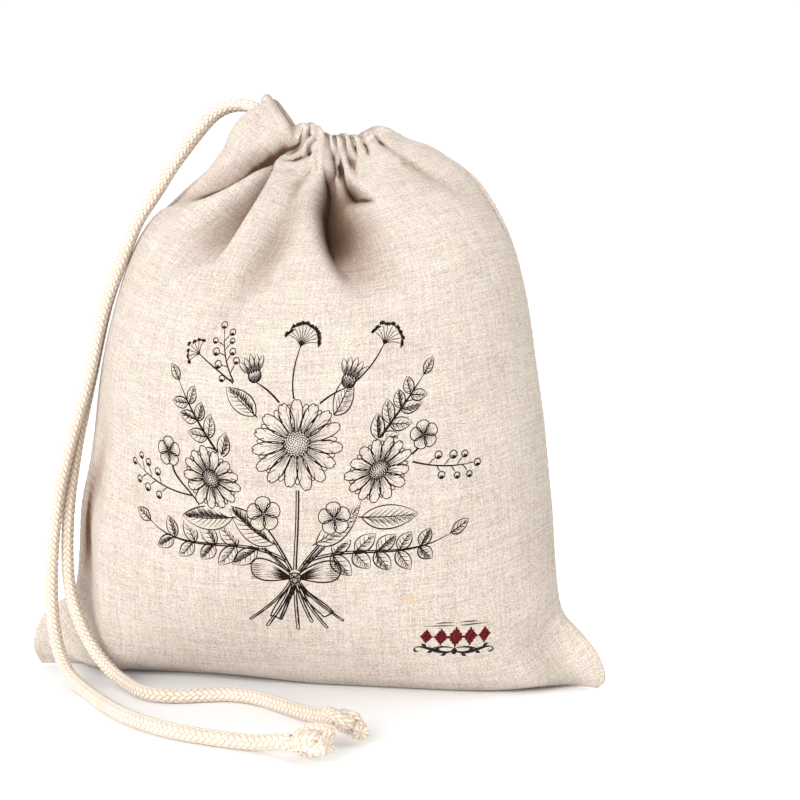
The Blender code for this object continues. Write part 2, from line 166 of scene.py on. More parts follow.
def addNode(tree, kind, inputs=None, **settings):
    # a node with its settings, each input given as a value or as the socket that feeds it
    node = tree.nodes.new("ShaderNode" + kind)
    for key, value in settings.items():
        setattr(node, key, value)
    for key, value in (inputs or {}).items():
        if isinstance(value, bpy.types.NodeSocket):
            tree.links.new(value, node.inputs[key])
        else:
            node.inputs[key].default_value = value
    return node


def calc(operation, first, *others):
    # one Math node on a socket and others or numbers
    return addNode(first.id_data, "Math", dict(enumerate((first, *others))), operation=operation).outputs[0]


def times(first, second):
    # one Math node that multiplies
    return calc("MULTIPLY", first, second)


def plus(first, second):
    # one Math node that adds
    return calc("ADD", first, second)


def mixed(factor, first, second, blend="MIX"):
    # one colour blended into another by a factor
    tree = (first if factor == 1 else factor).id_data
    inputs = {"Factor": factor, 6: first, 7: second}
    return addNode(tree, "Mix", inputs, data_type="RGBA", blend_type=blend).outputs[2]


def rangeOf(value, low, high, least=0.0, most=1.0, **settings):
    # a value's stretch from low to high spread over least to most, and held there outside it
    inputs = {"Value": value, "From Min": low, "From Max": high, "To Min": least, "To Max": most}
    return addNode(value.id_data, "MapRange", inputs, **settings).outputs["Result"]


# the studio
studio = {
    "distance": 0.685, "aside": 0.044, "eye": 0.1395, "turn": 12.0,
    "lens": 60.0, "sensor": 36.0, "nearest": 0.01,
    # the surround: how bright it looks, and the light it gives from the viewer's side and from behind
    "worldSeen": 1.05, "frontLight": 0.25, "backLight": 2.3,
    "backWay": (0.2, 0.95, 0.08), "backRamp": (-0.4, 0.8),
    # the big soft lamp: how far round to the left and how high it stands, strength, spread, colour
    "lampAround": 13.5, "lampHeight": 12.0, "lampLight": 6.0, "lampSpread": 60.0,
    "lampColour": (0.985, 0.985, 1.0),
    "floorTone": (0.93, 0.93, 0.93, 1), "floorRough": 0.6, "floorHalf": 6.0,
}


def addStudio():
    # the camera looks level, turned to the left of the front, and stands aside of the line through the bag
    turn = radians(studio["turn"])
    ahead, right = Vector((-sin(turn), cos(turn), 0)), Vector((cos(turn), sin(turn), 0))
    lens = bpy.data.cameras.new("camera")
    lens.lens, lens.sensor_width, lens.clip_start = studio["lens"], studio["sensor"], studio["nearest"]
    camera = addObject("camera", lens)
    camera.location = right * studio["aside"] - ahead * studio["distance"] + Vector((0, 0, studio["eye"]))
    camera.rotation_euler = (pi / 2, 0, turn)
    bpy.context.scene.camera = camera
    around, high = radians(studio["lampAround"]), radians(studio["lampHeight"])
    source = bpy.data.lights.new("lamp", "SUN")
    source.energy, source.angle = studio["lampLight"], radians(studio["lampSpread"])
    source.color = studio["lampColour"]
    lamp = addObject("lamp", source)
    lamp.location = (-sin(around) * cos(high), -cos(around) * cos(high), sin(high))
    lamp.rotation_euler = (-lamp.location).to_track_quat("-Z", "Y").to_euler()
    # the white surround is lit from behind, and looks brighter than the light it gives, so folds stay dark
    world = bpy.data.worlds.new("studioWorld")
    world.use_nodes = True
    tree = world.node_tree
    sky = tree.nodes["Background"]
    sky.inputs["Color"].default_value = (1, 1, 1, 1)
    way = {0: addNode(tree, "TexCoord").outputs["Generated"], 1: studio["backWay"]}
    way = addNode(tree, "VectorMath", way, operation="DOT_PRODUCT").outputs["Value"]
    given = rangeOf(way, *studio["backRamp"], studio["frontLight"], studio["backLight"],
                    interpolation_type="SMOOTHSTEP")
    looking = addNode(tree, "LightPath").outputs["Is Camera Ray"]
    tree.links.new(rangeOf(looking, 0.0, 1.0, given, studio["worldSeen"]), sky.inputs["Strength"])
    bpy.context.scene.world = world
    bpy.context.scene.view_settings.view_transform = "Standard"
    half = studio["floorHalf"]
    corners = [(x * half, y * half, 0) for x, y in ((-1, -1), (1, -1), (1, 1), (-1, 1))]
    mesh = bpy.data.meshes.new("floor")
    mesh.from_pydata(corners, [], [(0, 1, 2, 3)])
    paint, shader, _ = newMaterial("floorPaint", studio["floorRough"], 0.5)
    shader.inputs["Base Color"].default_value = studio["floorTone"]
    mesh.materials.append(paint)
    addObject("floor", mesh)


addStudio()
print("studio made")

# materials
linen = {
    "rough": 0.93, "specular": 0.1, "sheenWeight": 0.08, "sheenRough": 0.6, "sheen": (1.0, 0.8, 0.66, 1),
    "relief": 0.00012, "bump": 0.8,
    # one thread's width, how far threads wander, how softly one gives way to the next, how little neighbours
    # share a tone, how fast it changes along them, the power of their round backs, how uneven they are, and
    # how far slubs and flecks are stretched
    "pitch": 0.62, "wander": (2.4, 1.7), "crossing": (-0.12, 0.12), "apart": 1.73, "along": (0.12, 0.16),
    "round": 0.55, "uneven": 1.6, "slubLength": 0.05, "barkLength": 2.6,
    # the fleck tone colours the bark flecks and is also the painted shade between threads
    "pale": (0.625, 0.58, 0.528, 1), "tan": (0.35, 0.301, 0.257, 1), "fleckAndGapShade": (0.15, 0.105, 0.075, 1),
    # the shade and deep tones are painted shade in folds, creases and on the hem's inside
    "shade": (0.31, 0.19, 0.122, 1), "deep": (0.04, 0.022, 0.014, 1), "stain": (0.58, 0.35, 0.18, 1),
    # a faint cast that drifts over the cloth
    "rosy": (1.0, 0.955, 0.96, 1), "golden": (1.0, 0.985, 0.93, 1),
    # each stain: across and up the flat cloth, radius
    "stains": [(60, 84, 2.2), (48, 64, 1.3)], "stained": 0.42,
}
# noise over the flat cloth: depth at which it is read, scale, detail
noises = {
    "drift": (0, 0.11, 2), "warp": (3.1, 1, 1), "weft": (9.2, 1, 1), "broad": (5, 0.03, 3),
    "grain": (1, 1.15, 2), "upright": (6, 0.95, 1), "level": (8, 0.95, 1), "cast": (11, 0.13, 2),
    "bark": (2, 0.62, 1), "ragged": (7, 0.5, 3), "worn": (4, 1.4, 2), "fibre": (0, 3.2, 2),
    "patch": (3, 0.07, 2),
}
# from where to where a value counts, and what it gives there
ranges = {
    "threads": (0.3, 0.7, 0.3, 0.8), "broad": (0.3, 0.7, -0.07, 0.07), "grain": (0.32, 0.68, -0.34, 0.34),
    "slubs": (0.7, 1.3, -0.17, 0.17), "cast": (0.35, 0.65), "bark": (0.66, 0.76, 0, 0.6),
    # the ranges for the gaps between threads, shade, deep and crown spread painted shade: between threads, in
    # folds and hollows, and between the cord's strands
    "threadGapShade": (0, 0.45, 0.3, 0), "shade": (0.04, 0.85), "deep": (0.6, 1, 0, 0.95), "crown": (0.15, 0.86),
    "worn": (0.55, 0.75, 0, 0.35), "patch": (0.35, 0.65), "fibre": (0.35, 0.6, 0.22, 0),
}
cotton = {
    "rough": 0.88, "sheenWeight": 0.2, "sheenRough": 0.5, "relief": 0.00012, "bump": 0.5, "stretch": 0.35,
    # the gap tone is painted shade between the braid's strands
    "strand": (0.70, 0.625, 0.525, 1), "palest": (0.76, 0.70, 0.61, 1), "gap": (0.36, 0.20, 0.105, 1),
    "yarn": (0.50, 0.38, 0.26, 1),
}
inkFinish = {"rough": 0.85, "specular": 0.05, "relief": 0.00012, "bump": 0.6}


def flatPlace(tree):
    # the uv in millimetres
    flat = addNode(tree, "SeparateXYZ", {0: addNode(tree, "UVMap").outputs[0]})
    return times(flat.outputs[0], 1 / toMetres), times(flat.outputs[1], 1 / toMetres)


def noise(name, x, y):
    # one of the noises, read at a place
    depth, scale, detail = noises[name]
    place = addNode(x.id_data, "CombineXYZ", {0: x, 1: y, 2: depth}).outputs[0]
    return addNode(x.id_data, "TexNoise", {"Vector": place, "Scale": scale, "Detail": detail}).outputs["Fac"]


def ranged(name, value):
    # a value spread over one of the ranges
    return rangeOf(value, *ranges[name])


def finished(material, shader, tree, colour, height, look):
    # the colour and the bump go to the shader, with a sheen where the look has one
    tree.links.new(colour, shader.inputs["Base Color"])
    for key, socket in (("sheenWeight", "Weight"), ("sheenRough", "Roughness"), ("sheen", "Tint")):
        if key in look:
            shader.inputs["Sheen " + socket].default_value = look[key]
    bump = addNode(tree, "Bump", {"Strength": look["bump"], "Distance": look["relief"], "Height": height})
    tree.links.new(bump.outputs[0], shader.inputs["Normal"])
    return material


def weave(tree):
    # plain weave read from the cloth's own flat millimetres: sin(pi a) sin(pi b) says which thread is on top,
    # each thread has its own tone, and the height is the product of both threads' round backs
    u, v = flatPlace(tree)
    drift = noise("drift", u, v)
    a, b = (plus(calc("DIVIDE", place, linen["pitch"]), times(drift, wander))
            for place, wander in zip((u, v), linen["wander"]))
    up, along = (calc("SINE", times(count, pi)) for count in (a, b))
    top = rangeOf(times(up, along), *linen["crossing"])
    i, j = calc("FLOOR", a), calc("FLOOR", b)
    across, upward = linen["along"]
    warp = noise("warp", times(i, linen["apart"]), times(v, upward))
    weft = noise("weft", times(u, across), times(j, linen["apart"]))
    threads = addNode(tree, "Mix", {"Factor": top, 2: weft, 3: warp}).outputs[0]
    backs = times(calc("ABSOLUTE", up), calc("ABSOLUTE", along))
    height = plus(calc("POWER", backs, linen["round"]), times(threads, linen["uneven"]))
    return u, v, threads, backs, height


def linenMaterial():
    # thread tones from tan to pale, dark flecks of bark, faint stains, broad uneven toning, painted shade in
    # the gaps between threads, and painted shade in the folds and on the hem's inside
    material, shader, tree = newMaterial("linen", linen["rough"], linen["specular"])
    u, v, threads, backs, height = weave(tree)
    tone = ranged("threads", threads)
    broad = ranged("broad", noise("broad", u, v))
    grain = ranged("grain", noise("grain", u, v))
    upright = noise("upright", u, times(v, linen["slubLength"]))
    level = noise("level", times(u, linen["slubLength"]), v)
    slubs = ranged("slubs", plus(upright, level))
    tone = plus(plus(tone, broad), plus(grain, slubs))
    colour = mixed(tone, linen["tan"], linen["pale"])
    cast = ranged("cast", noise("cast", u, v))
    colour = mixed(1.0, colour, mixed(cast, linen["rosy"], linen["golden"]), "MULTIPLY")
    bark = noise("bark", u, times(v, linen["barkLength"]))
    colour = mixed(ranged("bark", bark), colour, linen["fleckAndGapShade"])
    for across, upward, radius in linen["stains"]:
        away, rise = (calc("POWER", calc("SUBTRACT", place, middle), 2.0)
                      for place, middle in ((u, across), (v, upward)))
        ragged = times(noise("ragged", u, v), radius * radius * 2.0)
        inside = calc("SUBTRACT", plus(away, rise), ragged)
        inside = rangeOf(inside, -radius, radius, linen["stained"], 0.0)
        colour = mixed(inside, colour, linen["stain"])
    # painted shade in the gaps between the threads, in the fleck tone
    colour = mixed(ranged("threadGapShade", backs), colour, linen["fleckAndGapShade"])
    # painted shade from the mesh's fold and cavity mask: a brown multiply first, then near black where it is
    # deepest
    paintedShade = addNode(tree, "Attribute", attribute_name="paintedShade").outputs["Fac"]
    colour = mixed(ranged("shade", paintedShade), colour, linen["shade"], "MULTIPLY")
    colour = mixed(ranged("deep", paintedShade), colour, linen["deep"])
    return finished(material, shader, tree, colour, height, linen)


def inkMaterial(name, colour):
    # ink soaked into the threads: the weave's relief stays, and pale thread tops show through here and there
    material, shader, tree = newMaterial(name, inkFinish["rough"], inkFinish["specular"])
    u, v, _, backs, height = weave(tree)
    worn = ranged("worn", noise("worn", u, v))
    colour = mixed(times(worn, backs), (*colour, 1), linen["tan"])
    return finished(material, shader, tree, colour, height, inkFinish)


def cottonMaterial():
    # cream where a strand stands proud and a painted warm brown shade in the gaps between strands, with fine
    # yarn lines along each strand
    material, shader, tree = newMaterial("cottonCord", cotton["rough"])
    crown = addNode(tree, "Attribute", attribute_name="crown").outputs["Fac"]
    u, v = flatPlace(tree)
    fibre = noise("fibre", times(u, cotton["stretch"]), v)
    patch = ranged("patch", noise("patch", u, v))
    pale = mixed(patch, cotton["strand"], cotton["palest"])
    # painted shade between the strands, where the braid is low
    colour = mixed(ranged("crown", crown), cotton["gap"], pale)
    colour = mixed(ranged("fibre", fibre), colour, cotton["yarn"])
    return finished(material, shader, tree, colour, fibre, cotton)


linenCloth = linenMaterial()
cottonCord = cottonMaterial()
print("materials made")

# the drawcord
cord = {
    "size": 6.5, "strands": 8, "pitch": 3.1, "relief": 0.52, "around": 44, "step": 0.46, "gap": 0.04,
    # a strand's height where it dips under the others, its swell between, and the end caps' ring sizes
    "dip": 0.55, "swell": 0.45, "caps": (0.05, 0.5, 0.85), "splineSteps": 8000,
}
routes = {
    # over the left shoulder, down the side and along the ground to a knot
    "front": {
        "x": [-42.9, -49.2, -58, -65, -72.4, -80.8, -88.4, -94, -99.3, -105.4, -113.3, -121.4,
              -127.5, -130.1, -130, -127.5, -123.5, -117.5, -107, -92, -74.5, -53, -33, -16.5,
              1, 15, 24, 31, 35.5],
        "y": [-6.2, -7.7, -10.3, -13, -15.5, -17, -18.2, -19.2, -19.8, -20.5, -21, -22, -24.5, -27, -31,
              -37, -43, -50, -61, -76, -97, -120, -136, -145, -151, -154.5, -157, -159.7, -161.6],
        "z": [291.9, 289.1, 280.4, 270.2, 257.8, 244.5, 232.7, 219.9, 206.5, 190.1, 157.6, 128.1, 101, 80.4,
              60, 42, 28, 17, 7.6, 3.6, 3.4, 3.4, 3.4, 3.4, 3.4, 3.5, 4.4, 5.9, 6.2],
    },
    # in at the left end of the casing, round its right end and back
    "held": {
        "x": [-37, -31.5, -25.5, -18, -9, 2, 14, 27, 37.5, 43.6, 46,
              43.6, 37.5, 27, 14, 2, -9, -18, -26, -32.6, -38.5],
        "y": [-5.4, -5.3, -5.4, -6.4, -7.6, -7.9, -7.9, -7.9, -7.9, -5.5, 0,
              5.5, 7.9, 7.9, 7.9, 7.9, 7.6, 6.4, 5.4, 5.2, 4.6],
        "z": [292, 290.3, 286.5, 277.8, 269.2, 265, 263.6, 263.4, 264, 264.6, 264.8,
              264.6, 264, 263.4, 263.6, 265, 269.2, 277.8, 287, 291.8, 293.4],
    },
    "back": {
        "x": [-44.4, -50.5, -59.8, -67.4, -75.4, -83.8, -91.7, -97.4, -102.8, -108.5, -115.6, -121.4, -125,
              -126.6, -125, -121, -114, -104, -91, -75, -61, -49.5, -38.5, -29, -19, -8, 4, 19, 31,
              39.5, 44.5],
        "y": [3.3, 1.3, -1.6, -3.8, -6, -7.6, -9, -10, -10.5, -11.5, -13, -15, -17, -20, -24.5, -30, -36, -42,
              -49, -63, -77.5, -83, -81.5, -77, -74.5, -77, -85, -97.7, -108.6, -117, -122.2],
        "z": [293.2, 290.8, 281.6, 271.3, 259.8, 246.3, 234.4, 221.4, 207.9, 191.2, 158.8, 129.1, 105, 80.9,
              60, 44, 31, 18, 7.4, 3.6, 3.4, 3.4, 3.4, 3.4, 3.4, 3.4, 3.4, 3.5, 4.4, 5.9, 6.2],
    },
}


def splineThrough(points):
    # natural cubic spline: second derivatives from a tridiagonal system over the points' chord lengths
    known = goneAlong(points)
    step, size = np.diff(known), len(known)
    inner = np.arange(1, size - 1)
    matrix, target = np.eye(size), np.zeros((size, 3))
    matrix[inner, inner - 1], matrix[inner, inner + 1] = step[:-1], step[1:]
    matrix[inner, inner] = 2 * (step[:-1] + step[1:])
    slope = np.diff(points, axis=0) / step[:, None]
    target[1:-1] = 6 * np.diff(slope, axis=0)
    bend = np.linalg.solve(matrix, target)
    where = np.unique(np.concatenate([known, np.linspace(0, known[-1], cord["splineSteps"])]))
    i = np.clip(np.searchsorted(known, where, side="right") - 1, 0, size - 2)
    a = ((known[i + 1] - where) / step[i])[:, None]
    b, width = 1 - a, step[i][:, None] ** 2 / 6
    line = a * points[i] + b * points[i + 1]
    line = line + ((a**3 - a) * bend[i] + (b**3 - b) * bend[i + 1]) * width
    gone = goneAlong(line)
    return line, gone, gone[np.searchsorted(where, known)]


def braid(along, turn):
    # two families of strands wind opposite ways, a and b count them; each passes over two and under two,
    # a strand's back is a half ellipse across it and swells in the middle of the stretch where it is on top
    a = cord["strands"] * turn / (2 * pi) + along / cord["pitch"]
    b = cord["strands"] * turn / (2 * pi) - along / cord["pitch"]
    i, j = np.floor(a), np.floor(b)
    s, t = a - i, b - j
    turnOf = np.mod(i + j, 4)
    first = turnOf < 2
    across = np.where(first, s, t)
    run = np.where(first, turnOf + t, turnOf - 2 + s) / 2
    back = np.sqrt(np.clip(1 - (2 * across - 1) ** 2, 0, 1))
    return back * (cord["dip"] + cord["swell"] * np.sin(pi * np.clip(run, 0, 1)))


def addTube(name, line, aside, nodes, shrink=1.0):
    # rings square to the path, their radius the cord's less the braid's relief times one minus its height,
    # and a shallow dome on each end that closes on one small last ring of quads
    turn = np.arange(cord["around"]) * 2 * pi / cord["around"]
    along = goneAlong(line)[:, None]
    crown = braid(along, turn[None, :])
    radius = (cord["size"] / 2 - cord["relief"] * (1 - crown)) * shrink
    points = line[:, None] + circleAround(unit(np.gradient(line, axis=0)), aside, turn) * radius[..., None]
    uv = np.stack(np.broadcast_arrays(along, turn[None, :] * cord["size"] / 2), axis=-1) * toMetres
    caps = [[ring.mean(0) + (ring - ring.mean(0)) * share for share in cord["caps"][::way]]
            for ring, way in ((points[0], 1), (points[-1], -1))]
    points = np.concatenate([caps[0], points, caps[1]])
    crown, uv = (np.concatenate([part[:1]] * 3 + [part] + [part[-1:]] * 3) for part in (crown, uv))
    rows, around = points.shape[:2]
    half = np.arange(around // 2 - 1)
    first = np.stack([half, half + 1, around - 2 - half, around - 1 - half], axis=-1)
    last = first[:, ::-1] + (rows - 1) * around
    return addPiece(name, points.reshape(-1, 3), np.concatenate([gridFaces(rows, around, True), first, last]),
                    cottonCord, uv.reshape(-1, 2), {"crown": crown.ravel()}, nodes)


def cutCord(first, last, step):
    # evenly spaced points of the whole cord between two distances along it
    return pick(np.linspace(first, last, int((last - first) / step) + 1), cordGone, cordLine)


frontFree, heldPart, backFree = (np.array([routes[name][axis] for axis in "xyz"]).T for name in routes)
cordLine, cordGone, cordMarks = splineThrough(np.concatenate([frontFree[::-1], heldPart, backFree]))
enter, leave = cordMarks[len(frontFree)], cordMarks[len(frontFree) + len(heldPart) - 1]
halfGap = cord["gap"] / 2
frontLine = cutCord(0, enter - halfGap, cord["step"])[::-1]
heldLine = cutCord(enter + halfGap, leave - halfGap, 2 * cord["step"])
backLine = cutCord(leave + halfGap, cordGone[-1], cord["step"])
# a direction that each stretch never runs along, from which its rings are turned
addTube("cordHeld", heldLine, (0, 0, 1), ["cord_in_casing"])
cordFront = addTube("cordFront", frontLine, (0.6, 0.8, 0), ["cord_end_front"])
cordBack = addTube("cordBack", backLine, (0.6, 0.8, 0), ["cord_end_back"])
print("cord made, free ends", round(enter - halfGap, 1), round(cordGone[-1] - leave - halfGap, 1))

# the knots and their frayed ends
knot = {
    "cordSize": 5.0, "twist": 4.2, "reach": 2.5, "loopOut": 2.8, "loopUp": 5.9, "tilt": 62.0, "lead": 4.5,
    "tail": 7.0, "flare": 1.04, "turns": 3, "step": 0.42,
    "clear": 0.05, "fibres": 60, "fibrePoints": 6, "fibreLength": (2.0, 3.6), "fibreSize": 0.16,
    "fibreRoot": 1.5, "fibreSpread": 0.16, "fibreBend": 0.05, "fibreAside": (0.31, 0.17, 0.93),
}


def knotRoute():
    # overhand knot along x: a pair of half turns of a helix, an arch over the top back to the start, and the
    # same helix again half a turn later, between a short lead and a tail
    twist, reach = knot["twist"], knot["reach"]
    share = np.linspace(0, 1, 14)
    angle = -pi / 2 + knot["turns"] * pi * share
    helix = np.stack([-twist + 2 * twist * share, reach * np.sin(angle), reach * np.cos(angle)], axis=1)
    out, up = twist + knot["loopOut"], reach + knot["loopUp"]
    arch = [[out, reach + 0.8, 0.6], [out * 0.86, up * 0.82, 0.5], [0, up, 0],
            [-out * 0.86, up * 0.82, -0.5], [-out, reach + 0.8, -0.6]]
    start = -twist - knot["lead"]
    lead = [[start, -reach * 0.6, 0], [start + 2.0, -reach * 0.8, 0]]
    tail = [[twist + 2.6, -reach * 0.7, 0], [twist + 4.8, -1.2, 0.8], [twist + knot["tail"], -0.6, 2.0]]
    return np.concatenate([lead, helix, arch, helix * (1, -1, -1), tail]) - (start, 0, 0)


def addKnot(name, node, line, tiltSign, seed):
    # the knot's own route set down where the cord's end points, with its short tail and a ragged cut
    end, ahead = line[-1], unit(line[-1] - line[-6])
    ahead = unit(np.array([ahead[0], ahead[1], 0.0]))
    tilt = radians(knot["tilt"]) * tiltSign
    upward = np.array([-ahead[1], ahead[0], 0.0]) * sin(tilt) + np.array([0, 0, cos(tilt)])
    third = np.cross(ahead, upward)
    places = end + ahead * cord["gap"] + knotRoute() @ np.array([ahead, upward, third])
    places[:, 2] = places[:, 2] - places[0, 2] + end[2]
    whole, gone, _ = splineThrough(places)
    where = np.linspace(0, gone[-1], int(gone[-1] / knot["step"]))
    path = pick(where, gone, whole)
    fromEnd = gone[-1] - where
    thin = knot["cordSize"] / cord["size"]
    shrink = 1 - (1 - thin) * smooth(0, 4, where) * smooth(2, knot["tail"] - 1, fromEnd)
    shrink = shrink * (1 + (knot["flare"] - 1) * (1 - smooth(0, 5, fromEnd)))
    path[:, 2] = np.maximum(path[:, 2], cord["size"] / 2 * shrink + knot["clear"])
    piece = addTube(name, path, third + 0.35 * ahead, [node], shrink[:, None])
    return [piece, addFray(name + "Fray", path[-1], unit(path[-1] - path[-4]), seed)]


def addFray(name, tip, away, seed):
    # thin fibres that leave the cut end: each is a bent four-sided cone, its bend growing with length squared
    rng, count, steps = np.random.default_rng(seed), knot["fibres"], knot["fibrePoints"]
    turn, out = rng.uniform(0, 2 * pi, count), np.sqrt(rng.uniform(0, 1, count)) * cord["size"] * 0.5
    outward = circleAround(away, (0, 0, 1), turn)
    root = tip - away * knot["fibreRoot"] + outward * out[:, None]
    length = rng.uniform(*knot["fibreLength"], count)
    stray = rng.normal(0, knot["fibreSpread"], (count, 3))
    lean = unit(away + outward * (out / cord["size"])[:, None] * 0.9 + stray)
    bend = rng.normal(0, knot["fibreBend"], (count, 3))
    share = np.linspace(0, 1, steps)[None, :, None]
    gone = share * length[:, None, None]
    lines = root[:, None, :] + lean[:, None, :] * gone + bend[:, None, :] * gone**2
    sizes = knot["fibreSize"] * (1.15 - share) * rng.uniform(0.7, 1.5, count)[:, None, None]
    lines[..., 2] = np.maximum(lines[..., 2], sizes[..., 0] + knot["clear"])
    circle = circleAround(unit(np.gradient(lines, axis=1)), knot["fibreAside"], np.arange(4) * pi / 2)
    points = (lines[..., None, :] + circle * sizes[..., None]).reshape(-1, 3)
    return addPiece(name, points, rodFaces(steps, count), cottonCord, np.zeros((len(points), 2)),
                    {"crown": np.ones(len(points))}, ())


for piece, line, name, node, tiltSign, seed in ((cordFront, frontLine, "knotFront", "knot_front", 1, 11),
                                                (cordBack, backLine, "knotBack", "knot_back", -1, 12)):
    pieces = addKnot(name, node, line, tiltSign, seed)
print("knots made")

# the linen panels
cloth = {
    "width": 300.0, "height": 331.0, "hem": 24.0, "edge": 0.12, "outer": 0.6, "inner": 0.05,
    "sectionPoints": 1400,
    # columns close to the seams, at each side and in the middle, where the folds are, and where each starts
    "edgeColumns": [0, 0.25, 0.6, 1.1, 1.8, 2.7], "sideColumns": 27, "middleColumns": 142, "sideFrom": 3.8,
    "middleFrom": 78, "rows": [(0, 62, 38), (62, 222, 70), (222, 331, 96)], "hemRows": 13, "turnRows": 7,
    # runs between which a feature of a section comes in, and between which one dies out again
    "foldRuns": (22, 42), "topEdgeRuns": (296, 331), "hemRuns": (290, 303), "hemRoom": 4.8,
    "casingRuns": (302, 315), "casingEndRuns": (321, 330), "casingEndX": (-8, 0),
    "liftRuns": (14, 30), "liftEndRuns": (40, 110), "earRuns": (30, 62),
    # the bottom corners lie flat as ears: where each starts and ends on the way to its seam, and how flat
    "earLeft": 0.74, "earRight": 0.82, "earEnd": 0.96, "earFlat": 0.72,
    # the front's left flank sinks to a hollow beside its seam
    "flankRuns": (30, 62), "flankEndRuns": (110, 200), "flankAcross": (0.78, 0.985), "flankFlat": 0.55,
    # folds: where they end beside a seam and below their route, where a leaning bank is and how wide, and how
    # often the rows are evened afterwards
    "foldEdge": 0.985, "foldFoot": (-18, 2), "leanPlace": 1.15, "leanWidth": 0.85, "evenings": 3,
    # the hem's way inside: its right end, the least and most half height of its turn, and the cloth in it
    "hemRightX": 36.5, "turnHeight": (1.2, 4.6), "turnCloth": 4,
    # painted shade in hollows: smoothing passes and the depth that counts in full, the folds' own depth that
    # counts in full, how far from the seam and the bottom it starts, and how dark the painted shade on the
    # hem's inside gets over how many of its rows
    "shadeCavityPasses": [(10, 0.7), (70, 3.4)], "shadeFullDepth": 7.5, "shadeFromSeam": (0, 8), "shadeFromRuns": (45, 90),
    "hemPaintedShade": 0.7, "hemShadeRows": (-2, 9),
}
# uneven relief of the cloth: size across and up, height; it fades at the bottom, the hem and the seams
relief = {"sizes": [(64, 52, 1.25), (33, 27, 0.7), (15, 19, 0.22), (7.5, 6.5, 0.07)],
          "comes": (20, 70), "goes": (268, 300), "seam": (2, 26), "least": 0.15}
# puckers: how high, how long, how far they reach, how much and over what length their beat wanders, over what
# length the seam's come and go, and the depth and width of the groove along the hem's stitches
seamPucker = {"height": 0.38, "length": 5.2, "reach": 6.5, "wander": 2.5, "over": 17, "fadeOver": 31}
hemPucker = {"height": 0.08, "length": 4.4, "reach": 5.0, "wander": 2, "over": 13, "groove": (0.1, 0.8)}

# the middle of each panel: cloth run from the bottom seam, height, distance out from the mid plane
middleLine = {
    "run": [0, 14, 28, 38, 50, 66, 90, 120, 160, 200, 226, 247, 264, 281, 298, 313, 325, 331],
    "z": [0.6, 0.6, 0.6, 4.5, 13.5, 27.5, 50.5, 80, 120, 159.5, 184.5, 203.5, 218, 232, 245, 257, 267, 272],
    "front": [0, 14, 28, 37, 45, 52.5, 59, 62, 62.5, 60, 55, 48.5, 41, 33, 25.5, 20.5, 18, 17.5],
    "back": [0, 15, 30, 40, 48, 55, 61, 63, 62, 58, 52, 46, 39, 31.5, 25, 20.5, 18, 17.5],
}
# side seams: run, x, height, distance towards the back, and how far the two panels stand apart there
leftSeam = {
    "run": [0, 10, 21, 34, 48, 66, 90, 122, 170, 203, 228, 248, 268, 285, 300, 310, 322, 331],
    "x": [-145, -149, -147, -139, -127, -125, -124.5, -119.5, -112.5, -104.5, -97, -87.5, -72.5, -57.5,
          -47.5, -42.5, -33.5, -25],
    "z": [1.2, 10, 21, 31, 39.5, 56, 80, 112, 160, 192, 215, 232, 247, 259, 270, 278, 287, 292],
    "y": [-14, -14, -13, -11.5, -10, -9, -8, -5, -2] + [0] * 9,
    "apart": [0] * 14 + [1, 5.6, 9.3, 9.3],
}
rightSeam = {
    "run": [0, 10, 21, 36, 50, 70, 100, 140, 180, 210, 236, 260, 280, 296, 306, 316, 324, 331],
    "x": [145, 148.5, 145.5, 136.5, 126.5, 123.5, 121.5, 118, 113, 109, 103, 94, 84, 75, 69, 64, 58, 51],
    "z": [1.2, 6, 15.5, 26.5, 37, 55, 84, 122, 160, 189, 214, 235, 249.5, 257.5, 261.5, 265, 268, 270],
    "y": [-14, -14, -13, -10, -6, -3] + [0] * 12,
    "apart": [0] * 18,
}
# shape of a section: round turns it from a flat lens (0) to an oval (1), square fills its shoulders,
# rise sets how late the cloth climbs from the middle to the seam
sectionShape = {
    "run": [0, 20, 40, 60, 90, 140, 220, 280, 331],
    "round": [0, 0, 0.25, 0.6, 0.85, 0.95, 0.95, 0.9, 0.8],
    "square": [9, 8, 5, 3.4, 2.6, 2.3, 2.2, 2.2, 2.6],
    "rise": [9, 9, 8, 6, 3.5, 2.6, 2.2, 2.0, 2.0],
}
# at each x: the gathered top edge's ups and downs, the lift of the front's foot, the room that the casing
# keeps for the cord, and how far from the mid plane the turned hem hangs
topEdge = {
    "x": [-25, -22, -16, -10, -6.5, -4, -1.5, 0.6, 2.6, 5, 6.8, 9, 10.8, 12.8, 14.8, 16.6, 18.4, 21.4,
          24.5, 27, 29.5, 35, 43, 51],
    "up": [-1.2, 1.9, -0.4, -4.2, -6.4, -3.2, 1.2, 2.4, -0.6, 2.2, -2.6, -0.2, -4, -1.6, -5, -2.4, -5,
           -2.6, -6, -3.4, -5.2, -1.2, 1.5, 0],
}
footLift = {"x": [-130, -105, -66, -25, 15, 60], "up": [0, 1.5, 5, 2.5, 0, 0]}
cordRoom = {"x": [-31, -18, -9, 2], "out": [9.6, 10.9, 12.0, 12.4]}
hemOut = {"x": [-30, -18, -8, 4], "out": [1.0, 1.6, 2.9, 3.6]}
